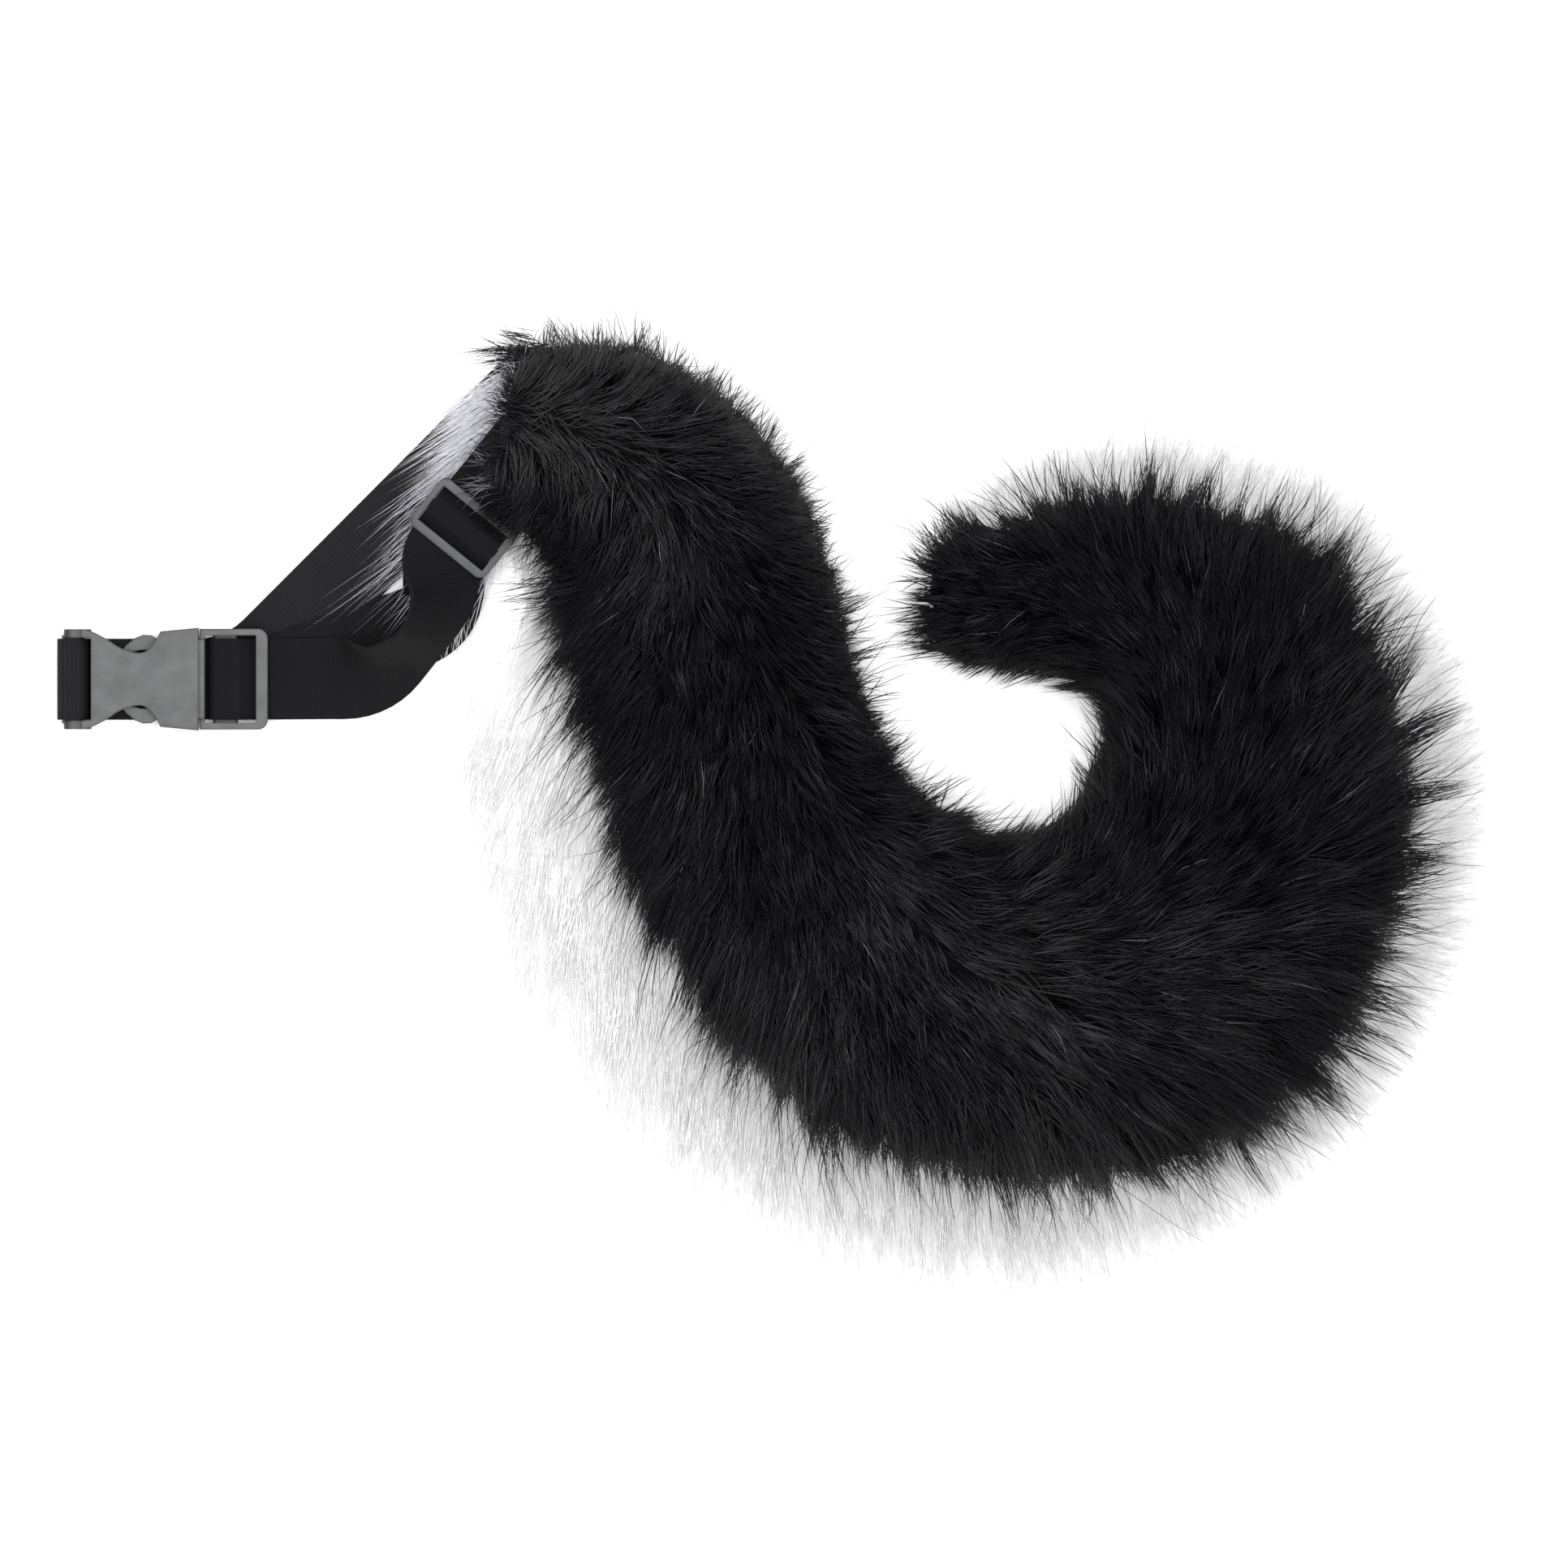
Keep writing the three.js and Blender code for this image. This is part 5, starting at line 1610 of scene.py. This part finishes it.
    def fixed(self) -> Route:
        """The strap from the root along the floor, under the buckle and round the socket's bar."""
        bar = 2.3 * MM
        start = self.form.beside(np.array([4 * MM]), np.array([17 * MM]), np.array([self.first]))[0]
        wrap = bar + self.clear
        bar_x = -self.socket_length - 0.6 * MM + bar
        bar_z = self.first + self.clear + bar
        low = bar_x - wrap
        high = bar_x + 2.4 * MM + wrap
        top = bar_z + wrap
        corner = self.at_buckle(13 * MM, self.first)
        corners = (
            (Vector(start), 0.0),
            (corner, 32 * MM),
            (self.at_buckle(low, self.first), wrap),
            (self.at_buckle(low, top), wrap),
            (self.at_buckle(high, top), wrap),
            (self.at_buckle(high, self.second), self.clear),
            (self.at_buckle(high + self.sewn_tail, self.second), 0.0),
        )
        return Route(corners, UP.cross(corner - Vector(start)))

    def tilted(self, stops: Sequence[Stop]) -> None:
        """Raises the inner edge of the running webbing where it turns, as stiff webbing does.

        Args:
            stops: The adjustable strap's stations, which are changed.
        """
        corner = self.bend + Vector((self.running[0], self.running[1], 0))
        away = self.at_slider(-self.slider_length / 2, 0) - corner
        centre = corner + Vector((away.x, away.y, 0)).normalized() * self.tilt_ahead
        half = self.width / 2
        for stop in stops:
            if stop.at.z < self.third - 0.1 * MM:
                break
            gap = Vector((stop.at.x - centre.x, stop.at.y - centre.y)).length
            angle = math.radians(self.tilt) * max(0.0, 1 - (gap / self.tilt_reach) ** 2) ** 2
            side = stop.across
            inner = 1.0 if side.dot(Vector((-1, 1, 0))) > 0 else -1.0
            outer_edge = stop.at - side * half * inner
            raised = Quaternion(stop.along, angle) @ side
            if (raised * inner).z < 0:
                raised = Quaternion(stop.along, -angle) @ side
            stop.across = raised
            stop.at = outer_edge + raised * half * inner
            stop.face = stop.along.cross(raised).normalized()

    def strap(self, stops: Sequence[Stop]) -> Piece:
        """Lays webbing along a route.

        Args:
            stops: The route's stations.

        Returns:
            The closed strap, with its way across and along in its UV map.
        """
        deselect()
        rows, columns = len(stops), self.columns
        bpy.ops.mesh.primitive_grid_add(x_subdivisions=columns, y_subdivisions=rows - 1, size=1.0)
        piece = bpy.context.object
        plain = get_points(piece)
        column = np.rint((plain[:, 0] + 0.5) * columns).astype(int)
        row = np.rint((plain[:, 1] + 0.5) * (rows - 1)).astype(int)
        at = np.array([stop.at for stop in stops])
        side = np.array([stop.across for stop in stops])
        run = np.concatenate(([0.0], np.cumsum(np.linalg.norm(np.diff(at, axis=0), axis=1))))
        across = (column / columns - 0.5) * self.width
        set_points(piece, at[row] + side[row] * across[:, None])
        give_uv(piece, "Webbing", np.stack((across, run[row]), 1))
        modify(piece, "SOLIDIFY", thickness=self.thickness, offset=0.0, use_even_offset=False)
        corners = {"limit_method": "ANGLE", "angle_limit": math.radians(60)}
        modify(piece, "BEVEL", width=0.42 * MM, segments=2, **corners)
        smooth(piece, 50)
        return piece

    def build(self) -> None:
        """Makes both straps."""
        weave = {"width": self.width, "rib": 1.3 * MM, "ends": 26}
        # one webbing in two copies: the adjustable strap's is painted darker as shade, the fixed strap's
        # lighter as painted light
        near = WebbingFinish("Webbing near", (0.0004, 0.0004, 0.0008), (0.0026, 0.0025, 0.0036), **weave)
        far = WebbingFinish("Webbing far", (0.0023, 0.0023, 0.0028), (0.009, 0.0089, 0.0102), **weave)
        stops = self.adjustable().stops()
        self.tilted(stops)
        over = self.strap(stops)
        finish_piece(over, "webbing_adjustable", near.build(), Slot.WEBBING, "strap_adjustable")
        under = self.strap(self.fixed().stops())
        finish_piece(under, "webbing_fixed", far.build(), Slot.WEBBING, "strap_fixed")


@dataclass
class Hardware:
    """The moulded pieces of the belt, with their edges eased by these widths."""

    socket: float = 1.1 * MM
    insert: float = 0.6 * MM
    slider: float = 0.4 * MM

    def eased(self, node: str, name: str, slot: Slot, material: bpy.types.Material, easing: float) -> None:
        """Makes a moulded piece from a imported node's form, its edges eased.

        Args:
            node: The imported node.
            name: The piece's name.
            slot: The record's slot.
            material: Its finish.
            easing: Width of the eased edges.
        """
        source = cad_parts[node]
        piece = source.copy()
        piece.data = source.data.copy()
        bpy.context.collection.objects.link(piece)
        piece.parent = None
        for key in list(piece.keys()):
            del piece[key]
        piece.hide_render = False
        piece.hide_viewport = False
        piece.matrix_world = source.matrix_world.copy()

        def tidy() -> None:
            """Merges the loose corners and dissolves flat edges."""
            bpy.ops.mesh.remove_doubles(threshold=0.01 * MM)
            bpy.ops.mesh.dissolve_limited(angle_limit=math.radians(0.5))

        edit(piece, tidy)
        modify(
            piece, "BEVEL", width=easing, segments=3, limit_method="ANGLE", angle_limit=math.radians(35),
            use_clamp_overlap=True,
        )
        activate(piece)
        bpy.ops.object.shade_smooth_by_angle(angle=math.radians(40))
        finish_piece(piece, name, material, slot, node)

    def build(self) -> None:
        """Makes the buckle's two halves and the slider."""
        grey = MouldedFinish("Buckle plastic", (0.042, 0.0428, 0.044), (0.074, 0.075, 0.0768), 0.5).build()
        slate = MouldedFinish("Slider plastic", (0.043, 0.044, 0.0455), (0.062, 0.063, 0.065), 0.52).build()
        self.eased("buckle_socket", "buckle_socket_shell", Slot.BUCKLE, grey, self.socket)
        self.eased("buckle_insert", "buckle_insert_frame", Slot.BUCKLE, grey, self.insert)
        self.eased("slider", "slider_frame", Slot.SLIDER, slate, self.slider)


# Studio


@dataclass
class Studio:
    """A pale floor, soft light from above and the camera straight above the tail."""

    root: tuple[float, float]
    aim: tuple[float, float] = (81.5 * MM, -111.5 * MM)
    width: float = 483 * MM
    level: float = 16 * MM
    distance: float = 9.0
    sensor: float = 36.0
    sky: float = 0.9
    lamp_power: float = 38.0

    def camera(self) -> None:
        """Makes the camera and gives it to the scene."""
        data = bpy.data.cameras.new("Camera")
        data.sensor_width = self.sensor
        data.lens = self.sensor * self.distance / self.width
        data.clip_start, data.clip_end = 0.1, 40.0
        camera = bpy.data.objects.new("Camera", data)
        camera.location = (self.root[0] + self.aim[0], self.root[1] + self.aim[1], self.level + self.distance)
        bpy.context.collection.objects.link(camera)
        bpy.context.scene.camera = camera

    def floor(self) -> None:
        """Lays the pale floor."""
        deselect()
        bpy.ops.mesh.primitive_plane_add(size=12.0, location=(0, 0, -0.2 * MM))
        floor = bpy.context.object
        floor.name = "Floor"
        graph = Graph("Floor pale")
        graph.set(Base_Color=(0.9, 0.9, 0.9, 1.0), Roughness=0.9, Specular_IOR_Level=0.1)
        floor.data.materials.append(graph.material)
        floor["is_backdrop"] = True

    def lamp(self, name: str, place: Triple, size: float, power: float) -> None:
        """Hangs one soft square lamp that faces the tail.

        Args:
            name: Its name.
            place: Where it hangs.
            size: Its side.
            power: Its power in watts.
        """
        data = bpy.data.lights.new(name, "AREA")
        data.shape = "SQUARE"
        data.size = size
        data.energy = power
        lamp = bpy.data.objects.new(name, data)
        lamp.location = place
        lamp.rotation_mode = "QUATERNION"
        lamp.rotation_quaternion = (Vector((0, 0, 0)) - Vector(place)).to_track_quat("-Z", "Y")
        lamp.visible_camera = False
        bpy.context.collection.objects.link(lamp)

    def light(self) -> None:
        """Sets the soft light."""
        scene = bpy.context.scene
        world = bpy.data.worlds.new("Studio")
        world.use_nodes = True
        ground = world.node_tree.nodes["Background"]
        ground.inputs["Color"].default_value = (1.0, 1.0, 1.0, 1.0)
        ground.inputs["Strength"].default_value = self.sky
        scene.world = world
        self.lamp("Overhead", (0.0, 0.1, 1.5), 1.6, self.lamp_power)
        scene.view_settings.view_transform = "Standard"
        scene.view_settings.look = "None"


def main() -> None:
    """Builds the scene, class by class."""
    logging.basicConfig(level=logging.INFO, format="%(message)s")
    socket_low, socket_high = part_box("buckle_socket")
    offset = Belt(TailForm(root=(0.0, 0.0))).mouth
    root = (socket_high.x - offset.x, (socket_low.y + socket_high.y) / 2 - offset.y)
    studio = Studio(root)
    studio.camera()
    studio.floor()
    studio.light()
    form = TailForm(root=root)
    StuffedBody(form).build()
    FurCoat(form).build()
    Underside(form).build()
    Belt(form).build()
    Hardware().build()
    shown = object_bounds()
    boxes = {
        "cad": [list(CAD_BOX[0]), list(CAD_BOX[1])],
        "visual": [list(shown[0]), list(shown[1])],
    }
    for name, box in boxes.items():
        LOG.info("%s box: %s", name, [[round(v, 4) for v in corner] for corner in box])


if __name__ == "__main__":
    main()
